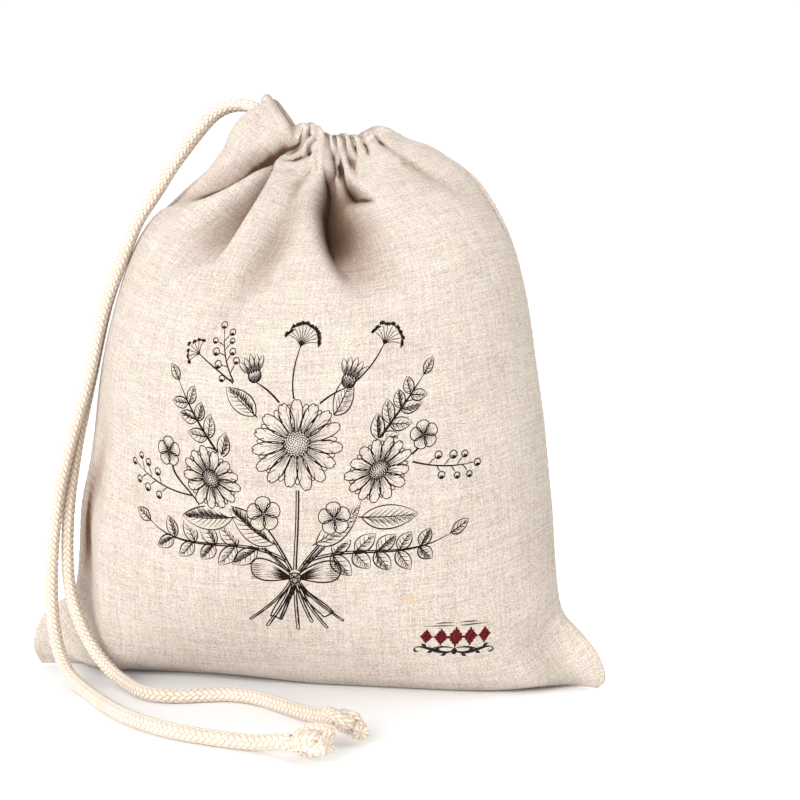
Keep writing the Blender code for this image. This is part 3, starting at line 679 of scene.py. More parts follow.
# folds, from the neck down: power of the bell, route, and how far it fades out above the route's top. Each
# route point: x, height, depth (out is plus), width to the left, width to the right, and how far the left
# bank (plus) or the right bank (minus) falls over the valley
frontFolds = {
    "peak valley": (1.7, [
        (6, 281, -1, 1.6, 1.6), (0.5, 275, -2.2, 3, 2.2), (-7, 268.5, -6.5, 6, 2.4, -0.4),
        (-15, 263.5, -10.5, 8, 2.2, -1.2), (-24, 258.5, -11.5, 10, 2.2, -2),
        (-40, 248.5, -8.5, 13, 2.4, -1.4), (-62, 239, -2, 15, 3)]),
    "peak crease": (1.8, [
        (0, 277, -0.3, 3, 3), (-9, 273, -1.8, 4, 4), (-19, 267, -2.2, 5, 5), (-28, 258, -0.4, 6, 5)]),
    "small crease": (2, [
        (3.0, 280, -9, 1.2, 1.0), (1.4, 273, -6, 1.3, 1.0), (-2, 268, -4.5, 1.3, 1),
        (-6.5, 264, -2.5, 1.3, 1), (-11, 260.5, -0.2, 1.3, 1)]),
    "first ridge": (1.8, [
        (-9, 266, 0.5, 2, 1.6), (-21, 254, 2.5, 3, 2.5), (-33, 245, 2.5, 4, 3), (-50, 234, 0.5, 5, 4)]),
    "left valley": (2, [
        (-11.5, 266.5, 0, 1.6, 1.2), (-14, 262, -4, 2.4, 1.2), (-17.5, 254, -11, 5, 1.4, -1),
        (-19.5, 246, -13, 10, 1.8, -2.5), (-22.5, 239, -13, 14, 2.2, -3), (-27, 230, -11, 18, 2.8, -2.6),
        (-34, 219, -7, 20, 4, -1.4), (-43, 205, -2, 20, 6)]),
    "pocket": (1.8, [
        (7.2, 281, -9, 1.5, 1.0), (5.4, 270, -7, 2.4, 1.0, -0.6), (3.8, 265.5, -8, 3.4, 1.1, -1),
        (1.6, 262.6, -6.5, 3.8, 1.2, -1), (-2.6, 260.4, -4, 3.4, 1.3, -0.3), (-7.5, 258.6, -0.4, 2.4, 1.4)]),
    "lobe shade": (2, [
        (4, 262, -0.6, 5, 7), (-2, 242, -3.4, 6, 9), (-12, 212, -6.4, 8, 11), (-24, 188, -3.6, 10, 13),
        (-38, 160, -0.3, 13, 16)]),
    "deep valley": (1.6, [
        (10.6, 277, -9, 1.0, 1.0), (12.4, 267, -10, 1.1, 1.0), (13.8, 261, -15, 1.2, 1.1, 0.4),
        (13.8, 256.5, -18, 1.5, 1.5, 1.0), (12, 251.5, -20, 2.0, 3.6, 1.8), (9.9, 244, -23, 2.4, 9.5, 2.6),
        (9.2, 237.5, -25, 2.5, 14, 3.0), (11, 229, -25, 2.6, 17, 3.2), (15, 220, -19, 3, 18, 2.2),
        (21, 210, -11, 3.8, 19, 1.2), (29, 200, -6.5, 5, 20, 0.4), (37, 191, -3, 6.5, 20),
        (46, 180, -0.4, 8, 22)]),
    "hooked valley": (2, [
        (14.2, 277, -9, 1.0, 1.0), (16.4, 265, -8, 1.1, 1.1), (17.6, 259, -14, 1.1, 1.1),
        (19.9, 253.5, -22, 1.5, 1.3, -0.3), (22.5, 249, -26, 1.9, 1.4, -0.6),
        (26.5, 245, -17, 2.8, 1.7, -0.8), (31, 241.2, -7, 5.2, 2.2, -0.6), (38, 236, -0.4, 5, 2.6)]),
    "small pleat": (2, [
        (18.4, 277, -9, 1.0, 1.2), (20.8, 265, -6.5, 1.2, 1.4), (23.8, 259, -4.4, 1.3, 2),
        (27, 249, -0.8, 2, 3)]),
    "right crease": (1.8, [
        (33.5, 276, -2.4, 1.2, 2), (37.5, 268, -2.2, 1.4, 2.6), (43.5, 263, -1.2, 1.8, 3.4),
        (49, 258, -0.2, 2, 3)]),
    "shoulder crease": (1.6, [
        (46, 264, -0.2, 3, 5), (58, 254, -2.6, 6, 9), (72, 246, -3, 8, 12), (90, 232, -2.2, 9, 14),
        (106, 210, 0, 9, 14)]),
    "rim pleat": (2, [
        (24.5, 280, -8, 1.0, 1.2), (24.5, 270, -5.5, 1.0, 1.3), (25.5, 264, -3.6, 1.2, 2),
        (27.5, 256, -0.4, 1.5, 2.5)]),
    "second rim pleat": (2, [
        (29.5, 280, -6, 1.0, 1.2), (29.5, 271, -4, 1.0, 1.4), (31, 265, -2, 1.5, 2), (34, 258, 0, 2, 2.5)]),
    "side dent": (1.6, [
        (-117, 116, -0.2, 2.4, 7), (-119.5, 88, -1.8, 2.6, 9), (-120.5, 62, -2.2, 2.6, 10),
        (-119, 42, -1.8, 2.6, 10), (-113, 26, -0.4, 3.5, 10)], 45),
}
backFolds = {
    "left valley": (1.6, [
        (-8, 284, -5, 1.8, 1.8), (-14, 256, -6, 5.7, 4.5), (-28, 236, -7, 8.4, 6.5), (-52, 210, -1, 12, 9)]),
    "second pleat": (1.6, [
        (0, 284, -5, 1.6, 1.6), (-2, 256, -6, 4.1, 3.7), (-8, 232, -6, 6.2, 5.6), (-20, 200, -1, 9, 8)]),
    "middle valley": (1.6, [
        (8, 284, -5, 1.8, 1.8), (9, 256, -7, 5.5, 3.9), (12, 226, -13, 9.4, 6.2), (16, 176, -1, 16, 10)]),
    "fourth pleat": (1.6, [
        (16, 284, -5, 1.6, 1.6), (18, 262, -5, 3.2, 3.5), (24, 242, -4, 4.6, 5.3), (36, 222, 0, 6, 7)]),
    "right valley": (1.6, [
        (25, 284, -5, 1.8, 1.8), (30, 262, -7, 4.1, 5.3), (42, 242, -6, 6.1, 8.5), (62, 214, -1, 9, 13)]),
    "end pleat": (1.6, [
        (35, 284, -3.5, 1.6, 1.8), (42, 266, -4, 2.9, 4.2), (56, 252, -3, 4, 6.1), (74, 238, 0, 5, 8)]),
}


def foldShape(folds, x, z):
    # height: the sum over the folds of depth times exp(-|distance from the route / width| ^ power), with its
    # own width each side. Lean: how far the bank beside the route falls over it, a bell centred on that
    # bank's shoulder.
    total, sideways = np.zeros_like(x), np.zeros_like(x)
    columns = ("x", "z", "depth", "left", "right", "lean")
    for power, points, *above in folds.values():
        route = dict(zip(columns, np.array([(*point, 0.0)[:6] for point in points[::-1]]).T))
        at = {key: through(route, key, z, "z") for key in columns if key != "z"}
        slant = (through(route, "x", z + 1, "z") - through(route, "x", z - 1, "z")) / 2
        away = (x - at["x"]) / np.sqrt(1 + slant * slant)
        reach = np.where(away < 0, at["left"], at["right"])
        fade = smooth(*route["z"][0] + cloth["foldFoot"], z)
        if above:
            fade = fade * (1 - smooth(route["z"][-1] - 4, route["z"][-1] + above[0], z))
        total += at["depth"] * fade * np.exp(-np.abs(away / reach) ** power)
        bank = np.where(at["lean"] > 0, -at["left"], at["right"]) * cloth["leanPlace"]
        sideways += at["lean"] * fade * np.exp(-(((away - bank) / (np.abs(bank) * cloth["leanWidth"])) ** 2))
    return total, sideways


def outwardOf(grid, side):
    # unit normals from the cross product of the grid's two directions, away from the inside of the bag
    grid = grid[..., :3]
    return unit(-side * np.cross(np.gradient(grid, axis=1), np.gradient(grid, axis=0)))


def sectionGrid(side, folds, runs):
    # each section goes from seam to seam: distance out is the middle's times sqrt(1 - |w| ^ square), less at
    # the flat ears and the sunken flank, height climbs to the seam's with |w| ^ rise, and the folds are added
    # along the normal, never into the cord's room. A fourth column keeps the depth that the folds ask for.
    run, w = np.meshgrid(runs, np.linspace(-1, 1, cloth["sectionPoints"]), indexing="ij")
    turn = through(sectionShape, "round", run)
    spread = (1 - turn) * w + turn * np.sin(pi * w / 2)
    leftX, rightX = through(leftSeam, "x", run), through(rightSeam, "x", run)
    x = leftX + (rightX - leftX) * (spread + 1) / 2
    leftward, far = spread < 0, np.abs(spread)
    seamZ, seamY, apart = (np.where(leftward, through(leftSeam, key, run), through(rightSeam, key, run))
                           for key in ("z", "y", "apart"))
    z = through(middleLine, "z", run)
    z = z + (seamZ - z) * far ** through(sectionShape, "rise", run)
    z = z + through(topEdge, "up", x, "x") * smooth(*cloth["topEdgeRuns"], run)
    full = np.sqrt(np.clip(1 - far ** through(sectionShape, "square", run), 0, 1))
    ear = smooth(np.where(leftward, cloth["earLeft"], cloth["earRight"]), cloth["earEnd"], far)
    full = full * (1 - cloth["earFlat"] * ear * (1 - smooth(*cloth["earRuns"], run)))
    if side < 0:
        z = z + through(footLift, "up", x, "x") * comeAndGo(cloth["liftRuns"], cloth["liftEndRuns"], run)
        flank = comeAndGo(cloth["flankRuns"], cloth["flankEndRuns"], run)
        full = full * (1 - cloth["flankFlat"] * flank * leftward * smooth(*cloth["flankAcross"], far))
    edge = cloth["edge"] + apart * far**4
    out = edge + np.maximum(through(middleLine, "front" if side < 0 else "back", run) - edge, 0) * full
    grid = np.stack([x, side * out + seamY * far**7, z], axis=2)
    inner = smooth(*cloth["foldRuns"], run) * (1 - smooth(cloth["foldEdge"], 1.0, np.abs(w)))
    height, sideways = (part * inner for part in foldShape(folds, x, z))
    room = cloth["hemRoom"] * smooth(*cloth["hemRuns"], run)
    held = smooth(*cloth["casingRuns"], run)
    held = held * (1 - smooth(*cloth["casingEndRuns"], run) * smooth(*cloth["casingEndX"], x))
    spare = np.maximum(out - room - (through(cordRoom, "out", x, "x") - cloth["hemRoom"]) * held, 0)
    moved = np.where(height < 0, -spare * np.tanh(-height / np.maximum(spare, 0.01)), height)
    grid = grid + outwardOf(grid, side) * moved[..., None] + sideways[..., None] * np.array([1.0, 0.0, 0.0])
    # the fourth column, the depth the folds ask for, later sets the painted shade
    return np.concatenate([grid, -height[..., None]], axis=2)


def soften(grid):
    # each inner row moved to the average of itself, counted twice, and its two neighbours
    grid[1:-1] = (grid[:-2] + 2 * grid[1:-1] + grid[2:]) / 4


def evenly(grid, shares):
    # each section shared out along its own length, as woven threads would be
    gone = [goneAlong(row[:, :3]) for row in grid]
    return np.array([pick(shares * line[-1], line, row) for row, line in zip(grid, gone)])


def hemGrid(side, topRow, rows, shares):
    # the cloth turned over the top by a half circle and led down inside, close to the mid plane
    runs = cloth["height"] - rows
    plain = sectionGrid(side, {}, runs)
    leftX, rightX = through(leftSeam, "x", runs)[:, None], through(rightSeam, "x", runs)[:, None]
    x = leftX + (plain[..., 0] - leftX) * (cloth["hemRightX"] - leftX) / (rightX - leftX)
    inside = evenly(np.stack([x, side * through(hemOut, "out", x, "x"), plain[..., 2]], axis=2), shares)
    angle = np.linspace(0, pi, cloth["turnRows"] + 2)[1:-1, None, None]
    share = (1 - np.cos(angle)) / 2
    ring = topRow * (1 - share) + inside[0] * share
    half = np.clip(np.abs(topRow[:, 1] - inside[0][:, 1]) / 2, *cloth["turnHeight"])
    ring[..., 2] += half * np.sin(angle[..., 0])
    return np.concatenate([ring, inside])


def paintedShadeFromCavity(grid, normal, passes, full):
    # painted shade in creases: how far each point lies under the average of its neighbours, taken again and
    # again, as a share of full
    spread = grid.copy()
    for _ in range(passes):
        soften(spread)
        soften(np.swapaxes(spread, 0, 1))
    return np.clip(((spread - grid) * normal).sum(axis=-1) / full, 0, 1)


def pucker(look, along, away, seed):
    # a sine along a stitch line, its beat wandering and its height coming and going, that dies out beside it
    wave = np.sin(2 * pi * along / look["length"] + look["wander"] * softNoise(along, 0, look["over"], seed))
    if "fadeOver" in look:
        wave = wave * (0.5 + 0.5 * softNoise(along, 0, look["fadeOver"], seed + 1))
    return look["height"] * wave * np.exp(-np.abs(away) / look["reach"])


def addRelief(grid, runs, shares, side, seed):
    # soft noise at several sizes over the flat cloth, puckers along the side seams and the hem's stitch line
    u, v = np.broadcast_arrays(((shares - 0.5) * cloth["width"])[None, :], runs[:, None])
    fromSeam = cloth["width"] / 2 - np.abs(u)
    body = comeAndGo(relief["comes"], relief["goes"], v) * smooth(*relief["seam"], fromSeam)
    height = sum(deep * softNoise(u, v * wide / tall, wide, seed + k)
                 for k, (wide, tall, deep) in enumerate(relief["sizes"]))
    height = height * (relief["least"] + (1 - relief["least"]) * body)
    height = height + pucker(seamPucker, v, fromSeam, seed + 9) * smooth(0, 3, fromSeam)
    fromHem = v - (cloth["height"] - cloth["hem"])
    height = height + pucker(hemPucker, u, fromHem, seed + 11)
    deep, wide = hemPucker["groove"]
    height = height - deep * np.exp(-((fromHem / wide) ** 2))
    return grid + outwardOf(grid, side) * (height * smooth(0, 1.2, fromSeam))[..., None]


def panelGrid(side, folds, seed):
    # the middle surface of one panel with its turned hem, its normals, the flat place and painted shade of
    # each point, and the runs of its outer rows
    width, sideFrom, middleFrom = cloth["width"], cloth["sideFrom"], cloth["middleFrom"]
    counts = np.cumsum([0, cloth["sideColumns"], cloth["middleColumns"], cloth["sideColumns"]])
    ends = np.array(cloth["edgeColumns"]) / width
    inner = np.interp(np.arange(counts[-1] + 1), counts,
                      [sideFrom, middleFrom, width - middleFrom, width - sideFrom])
    shares = np.concatenate([ends, inner / width, 1 - ends[::-1]])
    runs = np.unique(np.concatenate([np.linspace(*part) for part in cloth["rows"]]))
    outside = evenly(sectionGrid(side, folds, runs), shares)
    for _ in range(cloth["evenings"]):
        soften(outside)
    outside, depth = outside[..., :3], np.maximum(outside[..., 3], 0)
    outside = addRelief(outside, runs, shares, side, seed)
    hemRows = np.linspace(0, cloth["hem"], cloth["hemRows"])
    grid = np.concatenate([outside, hemGrid(side, outside[-1], hemRows, shares)])
    normal = outwardOf(grid, side)
    overTop = np.linspace(0, cloth["turnCloth"], cloth["turnRows"] + 2)[1:-1]
    v = np.concatenate([runs, cloth["height"] + overTop, cloth["height"] + cloth["turnCloth"] + hemRows])
    uv = np.stack(np.broadcast_arrays(((shares - 0.5) * width)[None, :], v[:, None]), axis=-1)
    paintedShade = np.max([paintedShadeFromCavity(grid, normal, *kind) for kind in cloth["shadeCavityPasses"]], axis=0)
    # painted shade from the folds' own depth
    paintedShade[:len(runs)] = np.maximum(paintedShade[:len(runs)], depth**2 / (depth**2 + cloth["shadeFullDepth"] ** 2))
    paintedShade = paintedShade * smooth(*cloth["shadeFromSeam"], width / 2 - np.abs(uv[..., 0]))
    paintedShade = paintedShade * smooth(*cloth["shadeFromRuns"], uv[..., 1])
    # painted shade on the hem's inside, growing darker over its first rows
    inside = smooth(*cloth["hemShadeRows"], np.arange(len(v) - len(runs)))
    paintedShade[len(runs):] = inside[:, None] * cloth["hemPaintedShade"]
    return grid, normal, uv, paintedShade, runs


def addPanel(name, node, side, grid, normal, uv, paintedShade):
    # an outer and an inner face, and a rim round them
    rows, columns = grid.shape[:2]
    index = np.arange(rows * columns).reshape(rows, columns)
    front = gridFaces(rows, columns)
    loop = np.concatenate([index[0, :], index[1:, -1], index[-1, -2::-1], index[-2:0:-1, 0]])
    ahead = np.roll(loop, -1)
    rim = np.stack([loop, loop + rows * columns, ahead + rows * columns, ahead], axis=-1)
    faces = np.concatenate([front, front[:, ::-1] + rows * columns, rim])[:, ::-side]
    points = np.concatenate([(grid + normal * cloth[face]).reshape(-1, 3) for face in ("outer", "inner")])
    return addPiece(name, points, faces, linenCloth, np.tile(uv.reshape(-1, 2), (2, 1)) * toMetres,
                    {"paintedShade": np.tile(paintedShade.ravel(), 2)}, [node])


panels = {}
for name, node, side, folds, seed in (("frontCloth", "front_panel", -1, frontFolds, 21),
                                      ("backCloth", "back_panel", 1, backFolds, 51)):
    grid, normal, uv, paintedShade, runs = panelGrid(side, folds, seed)
    piece = addPanel(name, node, side, grid, normal, uv, paintedShade)
    panels[side] = (grid + normal * cloth["outer"], normal, uv, runs)
print("panels made")

# the print: a hand drawn bunch of garden flowers, in flat millimetres from the middle of the bottom seam
ink = {
    "colour": (0.012, 0.0045, 0.003), "red": (0.085, 0.005, 0.007), "black": (0.014, 0.011, 0.011),
    "lift": 0.06, "sink": 0.12, "tied": (6, 96), "knot": 3.2, "leastShown": 0.12, "seed": 12,
    # two pens, and the shares of a stroke's width that are left at its ends
    "pen": 0.54, "fine": 0.28, "ends": (0.35, 0.25),
    # strokes up to these lengths and longer ones, and how many points each kind has
    "lengths": (4.0, 12.0), "points": (5, 8, 16),
    # open flowers: the heart's share of the radius, the petals' share of their room, marks in the heart for
    # each millimetre of radius, the turn from mark to mark, tufts round the heart. Then each flower's place,
    # radius, petals, squash, lean, layer
    "heart": 0.27, "petalWidth": 0.74, "marks": 4.2, "markTurn": 2.39996, "tufts": 26,
    "flowers": [((8, 159), 23, 15, 0.93, 0.5, 3), ((-36, 141), 16.5, 13, 0.8, 2.5, 2),
                ((47, 145), 17.5, 13, 0.78, 0.6, 2)],
    # small five petalled ones: place, radius, layer
    "blossoms": [((-9, 126), 8.5, 2), ((25, 124), 8.0, 2), ((-60, 150), 7.0, 2), ((70, 158), 7.0, 2)],
    # half open ones seen from the side: where the stem starts, the cup, size, lean
    "buds": [((0, 178), (-14, 192), 8.5, 0.35), ((18, 176), (35, 189), 9.0, -0.4)],
    # twigs of round leaves: four route points, pairs of leaves, leaf length at the foot and at the tip
    "branches": [([(2, 104), (-20, 118), (-46, 104), (-70, 116)], 5, 14, 9),
                 ([(10, 103), (34, 114), (56, 102), (80, 111)], 5, 14, 9),
                 ([(-22, 142), (-38, 160), (-46, 170), (-56, 184)], 4, 12, 8),
                 ([(40, 150), (54, 166), (62, 174), (72, 186)], 4, 12, 8)],
    # broad leaves: foot, angle, length, half width, and whether they are shaded dark
    "leaves": [((-4, 112), 2.72, 27, 6.8, True), ((16, 112), 0.42, 28, 6.8), ((-24, 124), 3.3, 27, 6.5, True),
               ((38, 124), -0.12, 27, 6.5), ((-12, 172), 2.35, 20, 6, True), ((27, 172), 0.8, 20, 6)],
    # berry sprays: foot, middle, tip, berries
    "berries": [((-12, 174), (-28, 188), (-34, 208), 9), ((56, 150), (72, 142), (90, 140), 7),
                ((-46, 132), (-62, 132), (-78, 138), 7)],
    # umbels of tiny flowers: foot, middle, tip, rays, radius
    "umbels": [((20, 178), (42, 186), (52, 203), 9, 10), ((7, 180), (5, 190), (9, 205), 11, 11),
               ((-8, 176), (-22, 186), (-46, 198), 7, 8)],
    # stalks of the two outer blossoms, and the cut stems' ends from the tie
    "stalks": [(-42, 128, -57, 146), (52, 140, 68, 154)],
    "cutEnds": [(-23, -22), (-15, -25), (-8, -21), (0, -26), (7, -22), (14, -25), (22, -21)],
}
# the bow's outline, from its knot
bow = [
    [(0, 0), (-9, 9), (-22, 13), (-21, 4)], [(-21, 4), (-20, -4), (-9, -2), (0, 0)],
    [(0, 0), (8, 8), (22, 12), (22, 3)], [(22, 3), (20, -5), (9, -2), (0, 0)],
    [(-1, -1), (-4, -8), (-10, -12), (-13, -20)], [(1, -2), (-1, -8), (-6, -13), (-8, -21.5)],
    [(-13, -20), (-11, -19), (-10, -20.5), (-8, -21.5)], [(1, -1), (5, -8), (12, -10), (18, -17)],
    [(-1, -2), (2, -9), (7, -13), (13, -19.5)], [(18, -17), (16, -17.5), (15, -19), (13, -19.5)],
    [(-2.4, 1.6), (-3.2, 0.4), (-3, -1.4), (-1.8, -2.2)], [(2.4, 1.6), (3.2, 0.4), (3, -1.4), (1.8, -2.2)],
    [(-2.4, 1.6), (-1, 2.5), (1, 2.5), (2.4, 1.6)], [(-1.8, -2.2), (-0.8, -2.8), (0.8, -2.8), (1.8, -2.2)],
]
# what shades the bow's loops: the first line, how far the last one drops, lines, weight, ends, reach
bowShades = [
    ([(2.6, 0.8), (6, 3.4), (9, 5.0), (1, 6.2)], (1.4, 4.2, 5.4, 6.6), 12, 1.3, (1.1, 0.1), (10, 14.5)),
    ([(21, 6), (18.5, 6.5), (16.5, 6.5), (1, 6)], (7, 7, 7, 6.6), 9, 1.2, (1.0, 0.1), (14.5, 16.5)),
]
pen, fine = ink["pen"], ink["fine"]
hand = np.random.default_rng(ink["seed"])
strokes = []


def cubic(points, t):
    # the Bernstein sum (1-t)^3 p0 + 3(1-t)^2 t p1 + 3(1-t) t^2 p2 + t^3 p3
    t = np.asarray(t, float)[..., None]
    first, second, third, fourth = np.moveaxis(np.asarray(points, float), -2, 0)
    return (1 - t) ** 3 * first + 3 * (1 - t) ** 2 * t * second + 3 * (1 - t) * t**2 * third + t**3 * fourth


def turned(points, angle):
    # points turned about the origin
    c, s = cos(angle), sin(angle)
    return np.asarray(points, float) @ [[c, s], [-s, c]]


def placed(points, place=(0, 0), angle=0.0, size=1.0, squash=1.0, lean=0.0):
    # turned by angle, sized, pressed flat by squash across the line at lean, and moved to its place
    return turned(turned(np.asarray(points, float) * size, angle - lean) * (1, squash), lean) + place


def penFor(layer, *at):
    # a pen for one place. Its strokes are cubics, with a width and the shares of it left at their two ends
    def draw(points, width, *ends):
        for stroke in placed(points, *at).reshape(-1, 4, 2):
            strokes.append((stroke, width, layer, ends or ink["ends"]))
    return draw


def hatch(draw, first, last, count, width, ends, tips=None):
    # strokes that turn step by step from the first into the last, each one's tip somewhere between two shares
    for share in np.linspace(0, 1, count):
        line = first + (last - first) * share
        if tips:
            line[3, 0] *= hand.uniform(*tips)
        draw(line, width, *ends)


def mirrored(points):
    # a stroke and its mirror image under the line that it stands on
    return np.array([points, np.array(points) * (1, -1)])


def between(foot, tip, aside=0.0, shares=(0, 0.4, 0.7, 1)):
    # four points at shares of the way from foot to tip, moved aside
    return foot + np.outer(shares, np.subtract(tip, foot)) + aside


def facing(angle):
    # one step at an angle
    return np.array([cos(angle), sin(angle)])


def heading(step):
    # the angle of a step
    return np.arctan2(step[1], step[0])


def drawFlower(place, radius, petals, squash, lean, layer):
    # a ring of petals, each two sides that meet in a notched tip and five veins, shorter tips between them,
    # and a heart of short curved pen marks laid out in a spiral
    heart, half = radius * ink["heart"], pi * radius * ink["petalWidth"] / petals
    for turn in (np.arange(petals) + hand.uniform(-0.12, 0.12, petals)) * 2 * pi / petals + 0.3:
        draw = penFor(layer, place, turn, 1, squash, lean)
        reach, root = radius * hand.uniform(0.93, 1.04), heart * 0.98
        notch, skew = reach * hand.uniform(0.95, 0.99), hand.uniform(-0.12, 0.12) * half
        for way, tip in ((half, 0.25), (-half, 0.2)):
            draw([[(root, way * 0.30), (reach * 0.45, way * 1.05), (reach * 0.93, way * 1.15 + skew),
                   (reach, way * tip)],
                  [(reach, way * tip), (reach, way * 0.1), (notch, way * 0.06), (notch, 0)]], pen, 0.6, 0.7)
        for share, far in ((-0.5, 0.55), (-0.25, 0.8), (0.0, 0.62), (0.25, 0.74), (0.5, 0.5)):
            far, side = far * hand.uniform(0.85, 1.08) * reach, half * share
            draw([(root, side * 0.5), (root + far * 0.3, side * 0.9), (far * 0.75, side * 1.1),
                  (far, side * 1.15)], fine, 0.9, 0.1)
        draw = penFor(layer, place, turn + pi / petals, radius, squash, lean)
        draw([(0.72, -0.075), (0.93, -0.05), (0.93, 0.05), (0.72, 0.075)], pen * 0.8, 0.7, 0.7)
        aside = 0.25 / radius
        hatch(draw, *mirrored([(far, -aside) for far in (0.55, 0.62, 0.68, 0.76)]), 3, fine, (0.8, 0.2))
    count = int(radius * ink["marks"])
    for k in range(count):
        away = ((k + 0.6) / count) ** 0.5
        mark = np.array([(0, -0.55), (0.28, -0.2), (0.28, 0.2), (0, 0.55)]) + (heart * away, 0)
        draw = penFor(layer, place, k * ink["markTurn"], 1, squash, lean)
        draw(mark, pen * (0.7 + 0.9 * away**2), 0.5, 0.5)
    for k in range(ink["tufts"]):
        mark = [(heart * 0.97, -0.3), (heart * 1.08, -0.2), (heart * 1.16, 0.1),
                (heart * hand.uniform(1.2, 1.45), 0.2)]
        penFor(layer, place, k * 2 * pi / ink["tufts"], 1, squash, lean)(mark, pen * 0.8, 0.9, 0.2)


def drawLeaf(place, angle, length, half, dark=False, layer=1, bend=None):
    # two edges, a middle rib, side ribs, and fine hatching on the shaded half, all bent along the leaf
    bend = hand.uniform(-0.35, 0.35) if bend is None else bend

    def draw(points, width, *ends):
        points = np.array(points) * (length, half)
        points[..., 1] += bend * length * (points[..., 0] / length) ** 2
        penFor(layer, place, angle)(points, width, *ends)

    draw([(0, 0), (0.22, 1.15), (0.66, 1.1), (1, 0)], pen, 0.8, 0.3)
    draw([(0, 0), (0.22, -1.15), (0.66, -1.1), (1, 0)], pen * 1.25, 0.8, 0.3)
    draw([(-0.06, 0), (0.3, 0.04), (0.6, 0.02), (0.96, 0)], pen, 1.2, 0.2)
    ribs = max(4, int(length / 3.2))
    for k in range(ribs):
        foot = 0.1 + 0.76 * k / ribs
        far = min(foot + 0.2, 0.97)
        top = 3.3 * far * (1 - far) * (1.02 - 0.12 * far)
        rib = [(foot, 0), (foot + 0.06, 0.22 * top), (far - 0.08, 0.6 * top), (far, 0.84 * top)]
        draw(mirrored(rib), fine * 1.15, 0.9, 0.2)
    rows = int(length * (1.5 if dark else 0.9))
    for k in range(rows):
        foot = 0.07 + 0.84 * k / rows
        top = -3.3 * foot * (1 - foot)
        start, reach = hand.uniform(0.04, 0.12), hand.uniform(0.5, 0.95 if dark else 0.75)
        line = [(foot, start * top), (foot + 0.02, 0.3 * top), (foot + 0.04, 0.6 * reach * top),
                (foot + 0.07, reach * top)]
        draw(line, fine * (1.5 if dark else 1.0), 0.9, 0.25)


def drawBranch(route, pairs, first, last):
    # a stem of two lines that close at the tip, with leaves in turn on both sides and one at the end
    for aside, width in ((0.55, pen), (-0.55, pen * 1.35)):
        penFor(0)(route + np.outer((1, 1, 0.6, 0), (0, aside)), width, 1.0, 0.4)
    for k in range(pairs):
        at = 0.2 + 0.74 * k / pairs
        foot, size = cubic(route, at), first + (last - first) * at
        ahead = cubic(route, at + 0.02) - foot
        for side in (1, -1):
            drawLeaf(foot + ahead * 0.3 * side, heading(ahead) + side * hand.uniform(0.85, 1.15),
                     size * hand.uniform(0.85, 1.1), size * 0.36, k % 2 == 0, 0, -side * 0.15)
    drawLeaf(route[3], heading(route[3] - cubic(route, 0.96)), last * 1.1, last * 0.36, False, 0, 0.1)


def drawRing(place, radius, layer, width):
    # a closed round from two half circles
    penFor(layer, place, 0.6, radius)(mirrored([(-1, 0), (-1, 1.333), (1, 1.333), (1, 0)]), width, 0.9, 0.9)


def drawStem(foot, middle, tip, width, *ends):
    # a stem that bends at its middle
    route = np.array([foot, middle, np.array(middle) * 0.4 + np.array(tip) * 0.6, tip])
    penFor(0)(route, width, *ends)
    return route


def drawBerries(foot, middle, tip, count):
    # a bent stem, and berries on short stalks, each a ring with a dark crescent
    route = drawStem(foot, middle, tip, pen * 1.3, 1.2, 0.5)
    for k in range(count):
        at = 0.35 + 0.65 * k / (count - 1)
        root = cubic(route, at)
        way = heading(cubic(route, min(at + 0.02, 1)) - cubic(route, at - 0.02))
        way += (1 - 2 * (k % 2)) * (0.9 if k < count - 1 else 0.0)
        reach, radius = hand.uniform(3.5, 5.5), hand.uniform(1.35, 1.9)
        penFor(0)(between(root, root + reach * facing(way), np.outer((0, 1, 1, 0), (0, 0.4))), pen)
        centre = root + (reach + radius) * facing(way)
        drawRing(centre, radius, 0, pen)
        for n, share in enumerate((0.72, 0.45, 0.15)):
            mark = [(-0.62, -share), (-0.25, -share - 0.16), (0.3, -share - 0.14),
                    (0.66 - 0.12 * n, -share * 0.7)]
            penFor(0, centre, 0, radius)(mark, pen * (1.5 - 0.4 * n), 0.3, 0.3)


def drawBlossom(place, radius, layer):
    # five round petals with short veins, and a few long stamens
    for turn in 0.4 + np.arange(5) * 2 * pi / 5:
        draw = penFor(layer, place, turn, radius)
        draw(mirrored([(0.16, 0.05), (0.4, 0.62), (0.98, 0.52), (0.97, 0)]), pen, 0.7, 0.8)
        veins = mirrored([(0.2, -0.09), (0.35, -0.18), (0.5, -0.27), (1, -0.3)])
        hatch(draw, *veins, 5, fine, (1.0, 0.1), (0.6, 0.75))
        stamen = between((0, 0), (0.42, 0), np.outer((0, 1, 1, 0), (0, 0.2 / radius)))
        penFor(layer, place, turn + 0.63, radius)(stamen, pen * 0.8, 0.8, 1.6)
    drawRing(place, radius * 0.13, layer, pen * 1.2)


def drawUmbel(foot, middle, tip, rays, radius):
    # a thin stem that opens into a fan of rays, each with a small star of pen marks on its end
    route = drawStem(foot, middle, tip, pen * 1.4, 1.1, 0.6)
    way, tip = heading(route[3] - route[2]), route[3]
    for off in np.linspace(-0.5, 0.5, rays):
        turn = way + off * 2.3
        reach = radius * (1.0 - 0.22 * abs(off)) * hand.uniform(0.9, 1.05)
        out, bowed = reach * facing(turn), reach * 0.5 * facing(way * 0.4 + turn * 0.6)
        penFor(0, tip)([(0, 0), bowed * 0.8, bowed * 0.6 + out * 0.4, out], fine * 1.3, 1.0, 0.7)
        for n in range(7):
            draw = penFor(0, tip + out, turn - 1.5 + 0.5 * n, radius * 0.16 * hand.uniform(0.8, 1.2))
            draw([(0, 0), (0.4, 0), (0.7, 0), (1, 0)], pen, 0.5, 1.5)


